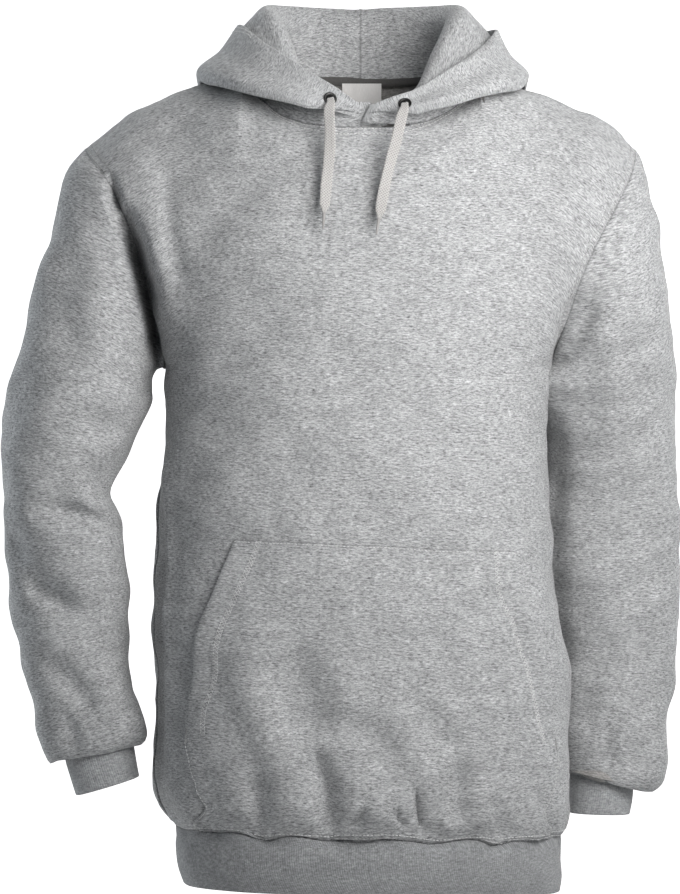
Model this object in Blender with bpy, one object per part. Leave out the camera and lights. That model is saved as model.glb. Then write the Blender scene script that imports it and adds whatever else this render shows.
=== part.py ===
"""Pullover hoodie, filled out as if worn: sewn fleece panels, rib cuffs and waistband, a kangaroo
pocket, and a hood that is pushed back, with two metal eyelets and the free ends of its drawcord.

Left and right are the wearer's: the wearer's left is at +X, and the front faces -Y. The origin is
at the middle of the neck opening, level with the neck ends of the shoulder seams. Sizes and tables
are in millimetres and degrees. Every cloth piece is a sheet of points, its right side out, that is
given a wall towards the wearer. Sheets that are sewn together share their edge points, and each is
then trimmed by half of the seam gap.
"""

import math

import bmesh
import bpy
import numpy as np
from mathutils import Vector

MM = 0.001
SEAM_GAP = 0.3
FLEECE = 3.0  # thickness of brushed fleece
RIB = 2.6  # thickness of the rib, folded double
POCKET_CLOTH = 2.4
TAPE = 1.0
LABEL = 1.0

UNDERARM = -252.0  # level where the side seams meet the sleeves
SEAM = -670.0  # level of the waistband's seam
HEM = -722.0
POCKET_TOP = -410.5

GATHERED_ROWS = np.array([SEAM, -665, -657, -646, -630, -610, -587])
BAND_ROWS = np.array([HEM, -716, -702, -688, -677, SEAM])
POCKET_SPANS = 7  # rows from there to the pocket's top
UPPER_SPANS = 5  # and on to the underarm
SHOULDER_COLUMNS = 6  # spans of a body panel along each shoulder seam
NECK_COLUMNS = 14  # and along the neckline
ARMHOLE_ROWS = 10  # spans from the underarm to the shoulder
SHOULDER_REACH = 0.235  # share of a body panel's width below each shoulder seam
SHOULDER_BUNCHING = 1.5  # above 1 the columns are closer together at the sleeve


def table(columns, *rows):
    """A short table, read by the names of its columns."""
    return dict(zip(columns.split(), np.array(rows, float).T))


# Level sections of the body, from the underarm to the hem. left and right are half widths, front and
# back half depths, power squares the section, turn twists it to the wearer's left, lean drops that side.
BODY = table(
    "height left right front back power turn lean",
    (-252, 172, 176, 126, 114, 2.30, 1.0, 0.010),
    (-300, 169, 177, 131, 113, 2.30, 2.0, 0.020),
    (-345, 169, 181, 134, 111, 2.35, 3.0, 0.032),
    (-410, 172, 185, 137, 110, 2.40, 5.0, 0.046),
    (-464, 179, 188, 139, 110, 2.40, 6.0, 0.042),
    (-510, 186, 188, 140, 112, 2.40, 7.0, 0.037),
    (-560, 188, 187, 141, 114, 2.40, 7.5, 0.033),
    (-615, 189, 187, 141, 116, 2.40, 8.0, 0.032),
    (-640, 189, 186, 139, 115, 2.40, 8.0, 0.031),
    (-655, 188, 182, 135, 112, 2.40, 8.0, 0.030),
    (-664, 186, 177, 130, 108, 2.40, 8.0, 0.029),
    (-670, 183, 171, 126, 105, 2.40, 8.0, 0.028),
    (-676, 182, 169, 125, 104, 2.40, 8.0, 0.028),
    (-690, 181, 168, 125, 104, 2.40, 8.0, 0.028),
    (-708, 182, 166, 123, 103, 2.40, 8.0, 0.026),
    (-722, 180, 161, 119, 99, 2.40, 8.0, 0.024),
)

# Where the rib gathers the body: the middle of each dip, how deep it is, and how far it pulls the seam down.
GATHERS = table(
    "angle depth drop",
    (-97, 3.0, 1.0),
    (-78, 4.0, 1.5),
    (-55, 4.0, 1.0),
    (-33, 6.0, 4.0),
    (-13, 5.0, 3.0),
    (12, 6.5, 4.5),
    (32, 6.0, 4.5),
    (54, 4.0, 1.5),
    (76, 3.5, 1.5),
    (99, 4.0, 1.5),
    (122, 5.5, 2.5),
    (144, 4.5, 2.0),
    (168, 6.0, 3.0),
    (190, 5.0, 2.5),
    (214, 6.0, 3.0),
    (238, 4.5, 2.0),
)
GIRTH_RADIUS = 150.0  # of the body, taken as round
GATHER_WIDTH = 5.5  # degrees
GATHER_RISE = 30.0  # how far a dip runs up the body
GATHER_FALL = 9.0  # and down the rib

# The shoulder seams, from the neck out to the sleeve.
SHOULDER = table(
    "side x y z",
    (-1, 106, 6, 8),
    (-1, 147, 7, 4),
    (-1, 181, 7, -9),
    (-1, 215, 5, -23),
    (-1, 240, 3, -41),
    (-1, 253, 1, -51),
    (1, 106, 6, 8),
    (1, 149, 8, 1),
    (1, 182, 8, -10),
    (1, 211, 6, -21),
    (1, 234, 3, -36),
    (1, 250, 0, -54),
)

# The armholes, from the underarm to the shoulder's tip, which are added at the ends. face -1 is the front.
ARMHOLE = table(
    "side face x y z",
    (-1, -1, 181, -36, -224),
    (-1, -1, 194, -60, -178),
    (-1, -1, 209, -67, -126),
    (-1, -1, 227, -55, -86),
    (-1, -1, 243, -30, -66),
    (-1, 1, 181, 36, -224),
    (-1, 1, 196, 58, -178),
    (-1, 1, 214, 63, -126),
    (-1, 1, 232, 53, -90),
    (-1, 1, 246, 31, -66),
    (1, -1, 177, -34, -230),
    (1, -1, 190, -60, -192),
    (1, -1, 206, -69, -152),
    (1, -1, 226, -60, -114),
    (1, -1, 243, -34, -80),
    (1, 1, 179, 38, -228),
    (1, 1, 194, 62, -185),
    (1, 1, 213, 68, -140),
    (1, 1, 232, 57, -100),
    (1, 1, 246, 33, -72),
)

# How a body panel leaves the underarm level and arrives at its top, as pulls in x, y and z: in the
# middle and at the sides, then at the neck and at the shoulders. y is towards the neck.
CHEST_PULL = np.array([0.0, 0.0, 215.0])
SIDE_PULL = np.array([0.0, 0.0, 285.0])
NECK_PULL = np.array([0.0, 47.5, 81.7])
SHOULDER_PULL = np.array([0.0, 185.0, 22.2])
NECK_SHARE = 0.27  # of a panel's width, from its middle to where it is wholly shoulder
ARMHOLE_SHARE = 0.30  # of a panel's width that follows the armhole

# The neckline: its height against the angle round the neck, from the front over the side to the back.
NECK_HALF_WIDTH = 106.0
NECK_FRONT = 82.0
NECK_BACK = 78.0
NECK = table(
    "angle height",
    (0, -38),
    (19, -37),
    (31, -33),
    (42, -26),
    (56, -14),
    (75, -1),
    (90, 8),
    (110, 12),
    (140, 12),
    (180, 10),
)

# Sections of the sleeves from the armhole to the cuff. outer and inner are where a section is farthest
# from and nearest to the body, front and back are how far it reaches in Y.
SLEEVE_RIGHT = table(
    "outer_x outer_z inner_x inner_z front back power",
    (-263, -70, -180, -251, -68, 66, 2.0),
    (-275, -102, -185, -253, -74, 70, 2.0),
    (-285, -142, -188, -257, -80, 72, 2.0),
    (-295, -178, -190, -262, -85, 72, 2.05),
    (-305, -222, -191, -273, -90, 71, 2.1),
    (-318, -279, -191, -287, -92, 68, 2.15),
    (-324, -304, -198, -305, -92, 65, 2.2),
    (-326, -328, -209, -326, -91, 62, 2.2),
    (-325, -347, -219, -346, -89, 58, 2.2),
    (-323, -364, -226, -366, -86, 53, 2.2),
    (-322, -386, -218, -384, -84, 49, 2.2),
    (-321, -410, -213, -406, -83, 46, 2.2),
    (-318, -445, -211, -442, -82, 41, 2.2),
    (-315, -478, -211, -480, -81, 36, 2.2),
    (-309, -505, -210, -510, -80, 31, 2.2),
    (-297, -551, -200, -550, -77, 25, 2.2),
    (-290, -584, -195, -572, -73, 21, 2.2),
    (-286, -602, -194, -584, -69, 17, 2.2),
    (-280, -610, -198, -590, -64, 12, 2.2),
    (-268, -602, -206, -585, -60, 7, 2.2),
)
CUFF_RIGHT = table(
    "outer_x outer_z inner_x inner_z front back power",
    (-266, -610, -205, -593, -60, 7, 2.2),
    (-262, -622, -203, -605, -60, 7, 2.2),
    (-257, -638, -200, -621, -59, 6, 2.2),
)
SLEEVE_LEFT = table(
    "outer_x outer_z inner_x inner_z front back power",
    (257, -78, 183, -256, -70, 70, 2.0),
    (267, -113, 184, -259, -71, 78, 2.0),
    (273, -146, 184, -263, -69, 86, 2.0),
    (279, -185, 180, -268, -63, 95, 2.05),
    (283, -224, 174, -278, -52, 104, 2.1),
    (286, -279, 169, -296, -33, 114, 2.15),
    (291, -338, 166, -338, -8, 121, 2.2),
    (292, -418, 165, -418, 10, 124, 2.2),
    (292, -480, 172, -480, 16, 125, 2.2),
    (288, -537, 179, -535, 19, 123, 2.2),
    (283, -590, 181, -580, 21, 119, 2.2),
    (279, -620, 182, -604, 22, 115, 2.2),
    (276, -633, 183, -616, 23, 112, 2.2),
    (268, -640, 186, -622, 26, 107, 2.2),
    (250, -630, 193, -612, 34, 98, 2.2),
)
CUFF_LEFT = table(
    "outer_x outer_z inner_x inner_z front back power",
    (250, -640, 192, -622, 33, 99, 2.2),
    (249, -650, 191, -638, 33, 99, 2.2),
    (247, -661, 190, -659, 34, 98, 2.2),
)
LONGEST_STEP = 29.0  # between two rows of a sleeve

# The hood's section at stations round the neck, 0 at the front and 1 at the back. From its seam the
# cloth stands up to the crest, rolls over, hangs to the fold and comes up again to the face edge.
# full says how much of the fold there is: at 0 the cloth runs straight from seam to edge.
HOOD_LEFT = table(
    "station full crest_x crest_y crest_z fold_x fold_y fold_z edge_x edge_y edge_z",
    (0.000, 0.0, 10, -84, -31, 10, -90, -33, 7, -88, -22),
    (0.071, 0.6, 32, -82, -22, 33, -93, -31, 28, -91, -14),
    (0.143, 1.0, 46, -77, -10, 50, -96, -28, 46, -90, -6),
    (0.214, 1.0, 56, -70, 0, 65, -96, -24, 60, -86, 2),
    (0.290, 1.0, 65, -58, 16, 82, -90, -20, 77, -77, 13),
    (0.380, 1.0, 76, -36, 40, 110, -74, -11, 100, -58, 29),
    (0.490, 1.0, 88, -4, 64, 140, -34, -3, 119, -20, 49),
    (0.610, 1.0, 90, 40, 76, 149, 22, 1, 124, 30, 57),
    (0.730, 1.0, 72, 76, 79, 132, 82, -50, 108, 86, 58),
    (0.860, 1.0, 38, 98, 79, 74, 124, -122, 60, 131, 56),
    (1.000, 1.0, 0, 104, 77, 0, 133, -152, 0, 146, 53),
)
HOOD_RIGHT = table(
    "station full crest_x crest_y crest_z fold_x fold_y fold_z edge_x edge_y edge_z",
    (0.000, 0.0, -12, -84, -30, -12, -90, -33, -4, -88, -17),
    (0.071, 0.6, -30, -82, -18, -31, -93, -28, -24, -91, -3),
    (0.143, 1.0, -45, -76, -5, -49, -95, -23, -42, -88, 8),
    (0.214, 1.0, -55, -68, 7, -64, -95, -19, -55, -82, 17),
    (0.290, 1.0, -64, -55, 23, -81, -89, -15, -69, -72, 27),
    (0.380, 1.0, -73, -34, 45, -108, -73, -7, -89, -54, 41),
    (0.490, 1.0, -83, -4, 66, -136, -34, 1, -104, -18, 56),
    (0.610, 1.0, -86, 40, 76, -146, 22, 3, -112, 30, 61),
    (0.730, 1.0, -70, 76, 79, -130, 82, -50, -104, 86, 60),
    (0.860, 1.0, -38, 98, 79, -74, 124, -122, -60, 131, 57),
    (1.000, 1.0, 0, 104, 77, 0, 133, -152, 0, 146, 53),
)
ROLL = 12.0  # radius of the crest
FOLD = 5.0  # radius of the fold at the bottom
HOOD_SPANS = (2, 2, 2, 2, 2, 2, 1, 1, 3, 3)  # rows between the points of the hood's section
ROLL_RISE = 34.0  # where the crest is lower than this above the seam, its roll is slimmer
CREST_SHAPE = (0.95, 0.8)  # of ROLL: out to where the roll meets the cloth, and down to it
FOLD_SHAPE = (1.0, 0.7, 1.4)  # of FOLD: in, out and up to where the bottom fold meets the cloth
FLAP_HOLLOW = 3.0  # how far the flap dips between its fold and its edge
LAP = 5.0  # at the front the left half passes this far over the right one
LAP_RISE = 1.6  # and its seam rises by this there
LAP_PLACES = (0.5, 0.25)  # the right half's extra columns, as shares of the first span of the left half
LAP_SLOPE = (1.0, 1.2, 0.6)  # how much of the seam's way these columns follow

# The kangaroo pocket: how far its two edges lie from the middle of the front, against the height.
POCKET = table(
    "height right left lift",
    (-410, 124, 136, 0.0),
    (-440, 142, 135, 1.2),
    (-490, 163, 152, 1.8),
    (-540, 178, 168, 1.5),
    (-587, 188, 182, 0.8),
    (-640, 186, 184, 0.0),
    (-670, 176, 178, 0.0),
)

# The largest folds, seen from the front: where each begins and ends, how wide and deep it is. A
# negative depth is a ridge.
FOLDS = {
    "front sleeve_right": table(
        "x0 z0 x1 z1 width depth",
        (-226, -86, -205, -140, 10, 9),
        (-205, -140, -192, -190, 11, 18),
        (-192, -190, -182, -250, 11, 18),
    ),
    "front": table(
        "x0 z0 x1 z1 width depth",
        (-177, -78, -171, -106, 14, 3),
        (-171, -106, -165, -185, 14, 6),
        (-178, -320, -174, -640, 7, 5),
        (-57, -600, -52, -655, 14, 4),
        (50, -590, 54, -650, 14, 4),
        (-75, -480, -20, -610, 26, 4),
    ),
    "sleeve_right": table(
        "x0 z0 x1 z1 width depth",
        (-252, -290, -205, -312, 13, 5),
        (-286, -382, -222, -396, 11, 7),
        (-256, -362, -216, -392, 12, -4),
        (-318, -375, -303, -436, 12, 6),
        (-303, -436, -250, -470, 13, 6),
        (-282, -512, -236, -565, 13, 5),
    ),
    "front sleeve_left": table(
        "x0 z0 x1 z1 width depth",
        (207, -160, 190, -205, 10, 4),
        (190, -205, 180, -250, 10, 7),
    ),
    "sleeve_left": table(
        "x0 z0 x1 z1 width depth",
        (204, -180, 190, -300, 12, 6),
    ),
}

TAPE_FIRST = 2  # columns of the back neckline left free at each end
TAPE_BELOW = 4.0
TAPE_ABOVE = 5.0
TAPE_OFF = 0.7
LABEL_LEFT = 19.0
LABEL_RIGHT = -17.0
LABEL_DROP = 44.0
LABEL_BELOW = 1.0  # its top against the seam
LABEL_POINTS = 5  # along each side
LABEL_BOW = 3.0  # how far its lower end stands off the back

EYELET_RIGHT = (-29.0, -13.5)  # seen from the front
EYELET_LEFT = (37.5, -21.5)
EYELET_MIDDLE_RADIUS = 4.7
EYELET_WIRE_RADIUS = 1.5
EYELET_OFF = 0.6  # from the flap

CORD_WIDTH = 10.0
CORD_THICKNESS = 2.0
CORD_ROUTE_RIGHT = table(
    "x y z",
    (-29.0, -98.0, -15.0),
    (-28.5, -100.2, -24.0),
    (-27.8, -104.0, -44.0),
    (-28.5, -109.5, -65.0),
    (-31.0, -113.5, -90.0),
    (-33.0, -118.5, -117.0),
)
CORD_ROUTE_LEFT = table(
    "x y z",
    (37.3, -105.6, -23.0),
    (35.5, -106.8, -32.0),
    (31.0, -109.5, -52.0),
    (24.5, -113.0, -76.0),
    (19.0, -117.0, -101.0),
    (15.5, -120.5, -122.0),
)
CORD_STEP = 12.0
CORD_TILT = 90.0  # lays the ribbon's width across the chest
TIP_LENGTH = 15.0
TIP_RADIUS = 1.5

SHARP_EDGE = 50.0  # degrees, where the shading breaks
HEATHER_GREY = (0.42, 0.43, 0.44, 1.0)
RIB_GREY = (0.36, 0.37, 0.38, 1.0)
CORD_GREY = (0.62, 0.59, 0.57, 1.0)
LABEL_GREY = (0.66, 0.63, 0.62, 1.0)
GUNMETAL = (0.09, 0.09, 0.09, 1.0)


# ---------------------------------------------------------------- curves


def spline(knots, values, at):
    """A smooth curve through values at rising or falling knots, read at the given places."""
    order = np.argsort(knots)
    knots = np.asarray(knots, float)[order]
    values = np.asarray(values, float)[order]
    slopes = np.gradient(values, knots, axis=0)
    at = np.clip(np.asarray(at, float), knots[0], knots[-1])
    before = np.clip(np.searchsorted(knots, at) - 1, 0, len(knots) - 2)
    width = knots[before + 1] - knots[before]
    t = (at - knots[before]) / width
    for _ in range(values.ndim - 1):
        width = width[..., None]
        t = t[..., None]
    return (
        (1 + 2 * t) * (1 - t) ** 2 * values[before]
        + t * (1 - t) ** 2 * width * slopes[before]
        + t**2 * (3 - 2 * t) * values[before + 1]
        + t**2 * (t - 1) * width * slopes[before + 1]
    )


def run_of(points):
    """The length along a row of points up to each of them."""
    steps = np.linalg.norm(np.diff(points, axis=0), axis=-1)
    return np.concatenate([[0.0], np.cumsum(steps)])


def along(points, shares):
    """Points at shares, 0 to 1, of the length of a smooth curve through the given ones."""
    points = np.asarray(points, float)
    run = run_of(points)
    fine = spline(run, points, np.linspace(0, run[-1], 40 * len(points)))
    length = run_of(fine)
    places = np.asarray(shares) * length[-1]
    return np.stack([np.interp(places, length, fine[:, k]) for k in range(3)], axis=-1)


def unit(vectors):
    return vectors / np.maximum(np.linalg.norm(vectors, axis=-1, keepdims=True), 1e-9)


def power(wave, exponent):
    return np.sign(wave) * np.abs(wave) ** exponent


def columns_of(rows, names="x y z"):
    return np.stack([rows[name] for name in names.split()], axis=-1)


# ---------------------------------------------------------------- the garment's form


def gathering(angle):
    """The dips of the gathered seam at an angle: how deep they are, and how far the seam drops."""
    away = (np.asarray(angle)[..., None] - GATHERS["angle"] + 180) % 360 - 180
    weight = np.exp(-((away / GATHER_WIDTH) ** 2))
    return weight @ GATHERS["depth"], weight @ GATHERS["drop"]


def body(angle, height):
    """A point of the body at an angle round it, 0 in front and 90 at the left, and at a height."""
    angle, height = np.broadcast_arrays(np.asarray(angle, float), np.asarray(height, float))
    row = {name: spline(BODY["height"], BODY[name], height) for name in BODY}
    sine = np.sin(np.radians(angle))
    cosine = np.cos(np.radians(angle))
    half_width = np.where(sine > 0, row["left"], row["right"])
    half_depth = np.where(cosine > 0, row["front"], row["back"])
    depth, drop = gathering(angle)
    above = height - SEAM
    fade = np.exp(-((above / np.where(above > 0, GATHER_RISE, GATHER_FALL)) ** 2))
    inward = 1 - depth * fade / GIRTH_RADIUS
    x = half_width * inward * power(sine, 2 / row["power"])
    y = -half_depth * inward * power(cosine, 2 / row["power"])
    turn = np.radians(row["turn"])
    dropped = height - drop * np.exp(-((above / GATHER_FALL) ** 2))
    turned_x = x * np.cos(turn) - y * np.sin(turn)
    turned_y = x * np.sin(turn) + y * np.cos(turn)
    return np.stack([turned_x, turned_y, dropped - row["lean"] * turned_x], axis=-1)


def neck(angle):
    """A point of the neck seam at an angle round it, 0 in front and 90 at the left."""
    angle = np.asarray(angle, float)
    sine = np.sin(np.radians(angle))
    cosine = np.cos(np.radians(angle))
    from_front = np.abs((angle + 180) % 360 - 180)
    depth = np.where(cosine > 0, NECK_FRONT, NECK_BACK)
    height = spline(NECK["angle"], NECK["height"], from_front)
    return np.stack([NECK_HALF_WIDTH * sine, -depth * cosine, height], axis=-1)


def seam_rows(rows, **wanted):
    """The points of those rows of a table whose columns hold the wanted numbers, their x by side."""
    chosen = np.all([rows[name] == value for name, value in wanted.items()], axis=0)
    return columns_of(rows)[chosen] * (wanted["side"], 1, 1)


def shoulder(side, shares):
    return along(seam_rows(SHOULDER, side=side), shares)


def armhole(side, face):
    """Points up one edge of the armhole, from the underarm to the shoulder's tip."""
    first = body(90.0 * side, UNDERARM)[None]
    last = shoulder(side, [1.0])
    points = np.concatenate([first, seam_rows(ARMHOLE, side=side, face=face), last])
    return along(points, np.linspace(0, 1, ARMHOLE_ROWS + 1))


def shoulder_shares():
    """Shares of a shoulder seam, closer together at the sleeve."""
    return np.linspace(0, 1, SHOULDER_COLUMNS + 1) ** SHOULDER_BUNCHING


def column_shares():
    """Shares of a body panel's width, closer together at its sides."""
    side = shoulder_shares() * SHOULDER_REACH
    middle = np.linspace(SHOULDER_REACH, 1 - SHOULDER_REACH, NECK_COLUMNS + 1)
    return np.concatenate([side, middle[1:-1], 1 - side[::-1]])


def panel_angles(first):
    """The angles of a body panel's columns, from one side seam to the other."""
    fine = np.linspace(first, first + 180, 721)
    length = run_of(body(fine, UNDERARM))
    return np.interp(column_shares() * length[-1], length, fine)


def panel_top(face):
    """The shoulder seam, neckline and shoulder seam of a body panel."""
    shares = shoulder_shares()
    first = -90 if face < 0 else 90
    side = -1 if face < 0 else 1
    neckline = neck(first + np.linspace(0, 180, NECK_COLUMNS + 1))
    start = shoulder(side, 1 - shares)[:-1]
    end = shoulder(-side, 1 - shares)[::-1][1:]
    return np.concatenate([start, neckline, end])


def hermite(start, leave, end, arrive, t):
    return (
        (1 + 2 * t) * (1 - t) ** 2 * start
        + t * (1 - t) ** 2 * leave
        + t**2 * (3 - 2 * t) * end
        + t**2 * (t - 1) * arrive
    )


def smooth_step(values):
    values = np.clip(values, 0, 1)
    return values * values * (3 - 2 * values)


def chest(face, angles):
    """The rows of a body panel above the underarm, from chest to shoulder and neck."""
    bottom = body(angles, UNDERARM)
    top = panel_top(face)
    shares = column_shares()
    # 1 over the shoulders, 0 at the middle of the neck.
    over = smooth_step(np.abs(shares - 0.5) / NECK_SHARE)[:, None]
    forward = np.array([1.0, -face, 1.0])
    leave = CHEST_PULL * (1 - over) + SIDE_PULL * over
    arrive = forward * (NECK_PULL * (1 - over) + SHOULDER_PULL * over)
    t = np.linspace(0, 1, ARMHOLE_ROWS + 1)[:, None, None]
    points = hermite(bottom, leave, top, arrive, t)
    sides = (-1, 1) if face < 0 else (1, -1)
    for side, column, distance in ((sides[0], 0, shares), (sides[1], -1, 1 - shares)):
        missing = armhole(side, face) - points[:, column]
        fade = (1 - smooth_step(distance / ARMHOLE_SHARE)) ** 1.5
        points = points + missing[:, None] * fade[:, None]
    return points


def panel(face):
    """Front or back panel, from the waistband's seam up to the shoulders."""
    angles = panel_angles(-90 if face < 0 else 90)
    low = body(angles[None], BODY_ROWS[:, None])
    return np.concatenate([low[:-1], chest(face, angles)])


def rings(rows):
    """Points round each section of a sleeve or cuff, from outer over front, inner and back."""
    angle = np.radians(np.arange(2 * ARMHOLE_ROWS) * 180 / ARMHOLE_ROWS)
    outer = columns_of(rows, "outer_x outer_z")
    inner = columns_of(rows, "inner_x inner_z")
    exponent = (2 / rows["power"])[:, None]
    across = power(np.cos(angle), exponent)[..., None]
    flat = (outer + inner)[:, None] / 2 + (outer - inner)[:, None] / 2 * across
    middle = ((rows["front"] + rows["back"]) / 2)[:, None]
    reach = ((rows["back"] - rows["front"]) / 2)[:, None]
    y = middle - reach * power(np.sin(angle), exponent)
    return np.stack([flat[..., 0], y, flat[..., 1]], axis=-1)


def armhole_ring(side):
    """The armhole's points, from the shoulder's tip down the front and up the back."""
    front = armhole(side, -1)[::-1]
    back = armhole(side, 1)
    return np.concatenate([front, back[1:-1]])


def tube(stations):
    """Rows of points smoothly through the stations, with one more row where two lie far apart."""
    steps = np.linalg.norm(np.diff(stations, axis=0), axis=-1).mean(axis=1)
    knots = np.concatenate([[0.0], np.cumsum(steps)])
    between = [(a + b) / 2 for a, b in zip(knots[:-1], knots[1:]) if b - a > LONGEST_STEP]
    return spline(knots, stations, np.sort(np.concatenate([knots, between])))


def hood_section(seam, row):
    """The points that one section of the hood passes through, from its seam to the face edge."""
    crest = np.array([row["crest_x"], row["crest_y"], row["crest_z"]])
    fold = np.array([row["fold_x"], row["fold_y"], row["fold_z"]])
    edge = np.array([row["edge_x"], row["edge_y"], row["edge_z"]])
    up = np.array([0.0, 0.0, 1.0])
    out = unit(((crest + fold) / 2) * (1, 1, 0))
    roll = ROLL * min(1.0, max(0.25, (crest[2] - seam[2]) / ROLL_RISE))
    over = out * roll * CREST_SHAPE[0]
    down = up * roll * CREST_SHAPE[1]
    over_in = crest - over - down
    over_out = crest + over - down
    fold_in = fold + (up * FOLD_SHAPE[2] - out * FOLD_SHAPE[0]) * FOLD
    fold_out = fold + (up * FOLD_SHAPE[2] + out * FOLD_SHAPE[1]) * FOLD
    return np.array(
        [
            seam,
            seam * 0.5 + over_in * 0.5 + out,
            over_in,
            crest,
            over_out,
            (over_out + fold_in) / 2,
            fold_in,
            fold,
            fold_out,
            (fold_out + edge) / 2 - out * FLAP_HOLLOW,
            edge,
        ]
    )


def hood_half(side):
    """One half of the hood: rows from the neck seam to the face edge, columns from front to back."""
    rows = HOOD_LEFT if side > 0 else HOOD_RIGHT
    first_span = 180 / NECK_COLUMNS
    angles = np.arange(NECK_COLUMNS + 1) * first_span
    seams = neck(side * angles)
    if side < 0:
        shares = np.array(LAP_PLACES)
        past = seams[0] + (neck(first_span) - seams[0]) * shares[:, None]
        seams = np.concatenate([past, seams])
        angles = np.concatenate([-first_span * shares, angles])
    columns = []
    for angle, seam in zip(angles, seams):
        row = {name: spline(rows["station"], rows[name], angle / 180) for name in rows}
        points = hood_section(seam, row)
        run = run_of(points)
        places = np.concatenate(
            [np.linspace(a, b, n, endpoint=False) for a, b, n in zip(run[:-1], run[1:], HOOD_SPANS)]
            + [run[-1:]]
        )
        folded = spline(run, points, places)
        straight = points[0] + (points[-1] - points[0]) * (places / run[-1])[:, None]
        column = straight + (folded - straight) * np.clip(row["full"], 0, 1)
        if side > 0:
            column = column + np.array([0, -LAP, LAP_RISE]) * np.clip(2 - angle / first_span, 0, 1)
        if angle < 0:
            column = column + (seam - neck(0)) * LAP_SLOPE
            column[0] = seam
        columns.append(column)
    return np.stack(columns, axis=1)


# ---------------------------------------------------------------- cloth


class Sheet:
    """A cloth piece before it has a wall: rows and columns of points, its right side by sign."""

    def __init__(self, name, points, sign=1, around=False, thickness=FLEECE, colour=HEATHER_GREY):
        self.name = name
        self.points = points
        self.sign = sign
        self.around = around
        self.thickness = thickness
        self.colour = colour
        self.normals = None
        self.inside = None


def raw_normals(sheet):
    """The normals of a sheet at its points, each as long as the area round it."""
    points = sheet.points
    if sheet.around:
        points = np.concatenate([points, points[:, :1]], axis=1)
    a = points[:-1, :-1]
    b = points[:-1, 1:]
    c = points[1:, 1:]
    d = points[1:, :-1]
    face = np.cross(c - a, d - b) * sheet.sign
    total = np.zeros_like(points)
    for rows in (slice(0, -1), slice(1, None)):
        for columns in (slice(0, -1), slice(1, None)):
            total[rows, columns] += face
    if sheet.around:
        total[:, 0] += total[:, -1]
        total = total[:, :-1]
    return total


def shared(sheets, values):
    """The values summed over all the points of all sheets that lie at one place, and how many they are."""
    keys = np.concatenate([np.round(s.points.reshape(-1, 3), 2) for s in sheets]) + 0.0
    _, index = np.unique(keys, axis=0, return_inverse=True)
    index = index.reshape(-1)
    flat = np.concatenate([v.reshape(-1, 3) for v in values])
    total = np.zeros((index.max() + 1, 3))
    np.add.at(total, index, flat)
    count = np.bincount(index)[:, None]
    parts = np.split(np.arange(len(index)), np.cumsum([s.points.size // 3 for s in sheets])[:-1])
    return [
        ((total / count)[index[part]]).reshape(sheet.points.shape)
        for part, sheet in zip(parts, sheets)
    ]


def set_normals(sheets):
    """Normals that sheets sewn together share along their seams."""
    for sheet, normals in zip(sheets, shared(sheets, [raw_normals(s) for s in sheets])):
        sheet.normals = unit(normals)


def fold_depth(points, rows):
    """How deep the folds of a table are at points, seen from the front."""
    start = columns_of(rows, "x0 z0")
    line = columns_of(rows, "x1 z1") - start
    away = points[..., None, (0, 2)] - start
    share = np.clip((away * line).sum(-1) / (line**2).sum(-1), 0, 1)
    distance = np.linalg.norm(away - share[..., None] * line, axis=-1)
    depths = rows["depth"] * np.exp(-((distance / rows["width"]) ** 2))
    deepest = np.argmax(np.abs(depths), axis=-1)
    return np.take_along_axis(depths, deepest[..., None], axis=-1)[..., 0]


def crease(sheets):
    """Presses the largest folds into the sheets' front, and keeps shared edges shared."""
    moved = [np.zeros_like(sheet.points) for sheet in sheets]
    for names, rows in FOLDS.items():
        for sheet, shift in zip(sheets, moved):
            if sheet.name in names.split():
                facing = np.clip(-sheet.normals[..., 1] * 1.6, 0, 1)
                depth = fold_depth(sheet.points, rows) * facing
                shift -= depth[..., None] * sheet.normals
    for sheet, shift in zip(sheets, shared(sheets, moved)):
        sheet.points = sheet.points + shift


def trims(sheet):
    """How far each edge point is drawn back from its seam, square to the edge and along the cloth."""
    shift = np.zeros_like(sheet.points)
    edges = [(0, 1, False), (-1, -2, False)]
    if not sheet.around:
        edges += [(0, 1, True), (-1, -2, True)]
    for edge, inside, is_column in edges:
        points = sheet.points.swapaxes(0, 1) if is_column else sheet.points
        normals = sheet.normals.swapaxes(0, 1) if is_column else sheet.normals
        target = shift.swapaxes(0, 1) if is_column else shift
        if sheet.around:
            direction = np.roll(points[edge], -1, axis=0) - np.roll(points[edge], 1, axis=0)
        else:
            direction = np.gradient(points[edge], axis=0)
        square = unit(np.cross(normals[edge], direction))
        towards = ((points[inside] - points[edge]) * square).sum(-1, keepdims=True)
        target[edge] += square * np.sign(towards) * SEAM_GAP / 2
    return shift


def rim_faces(outside, inside, points):
    """The triangles of a rim. Both sheets of a seam cut its spans across the same way."""
    keys = [tuple(key) for key in np.round(points, 3)]
    faces = []
    for j in range(len(keys) - 1):
        first, last = (j, j + 1) if keys[j] < keys[j + 1] else (j + 1, j)
        faces.append((outside[first], inside[first], inside[last]))
        faces.append((outside[first], inside[last], outside[last]))
    return faces


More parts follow.
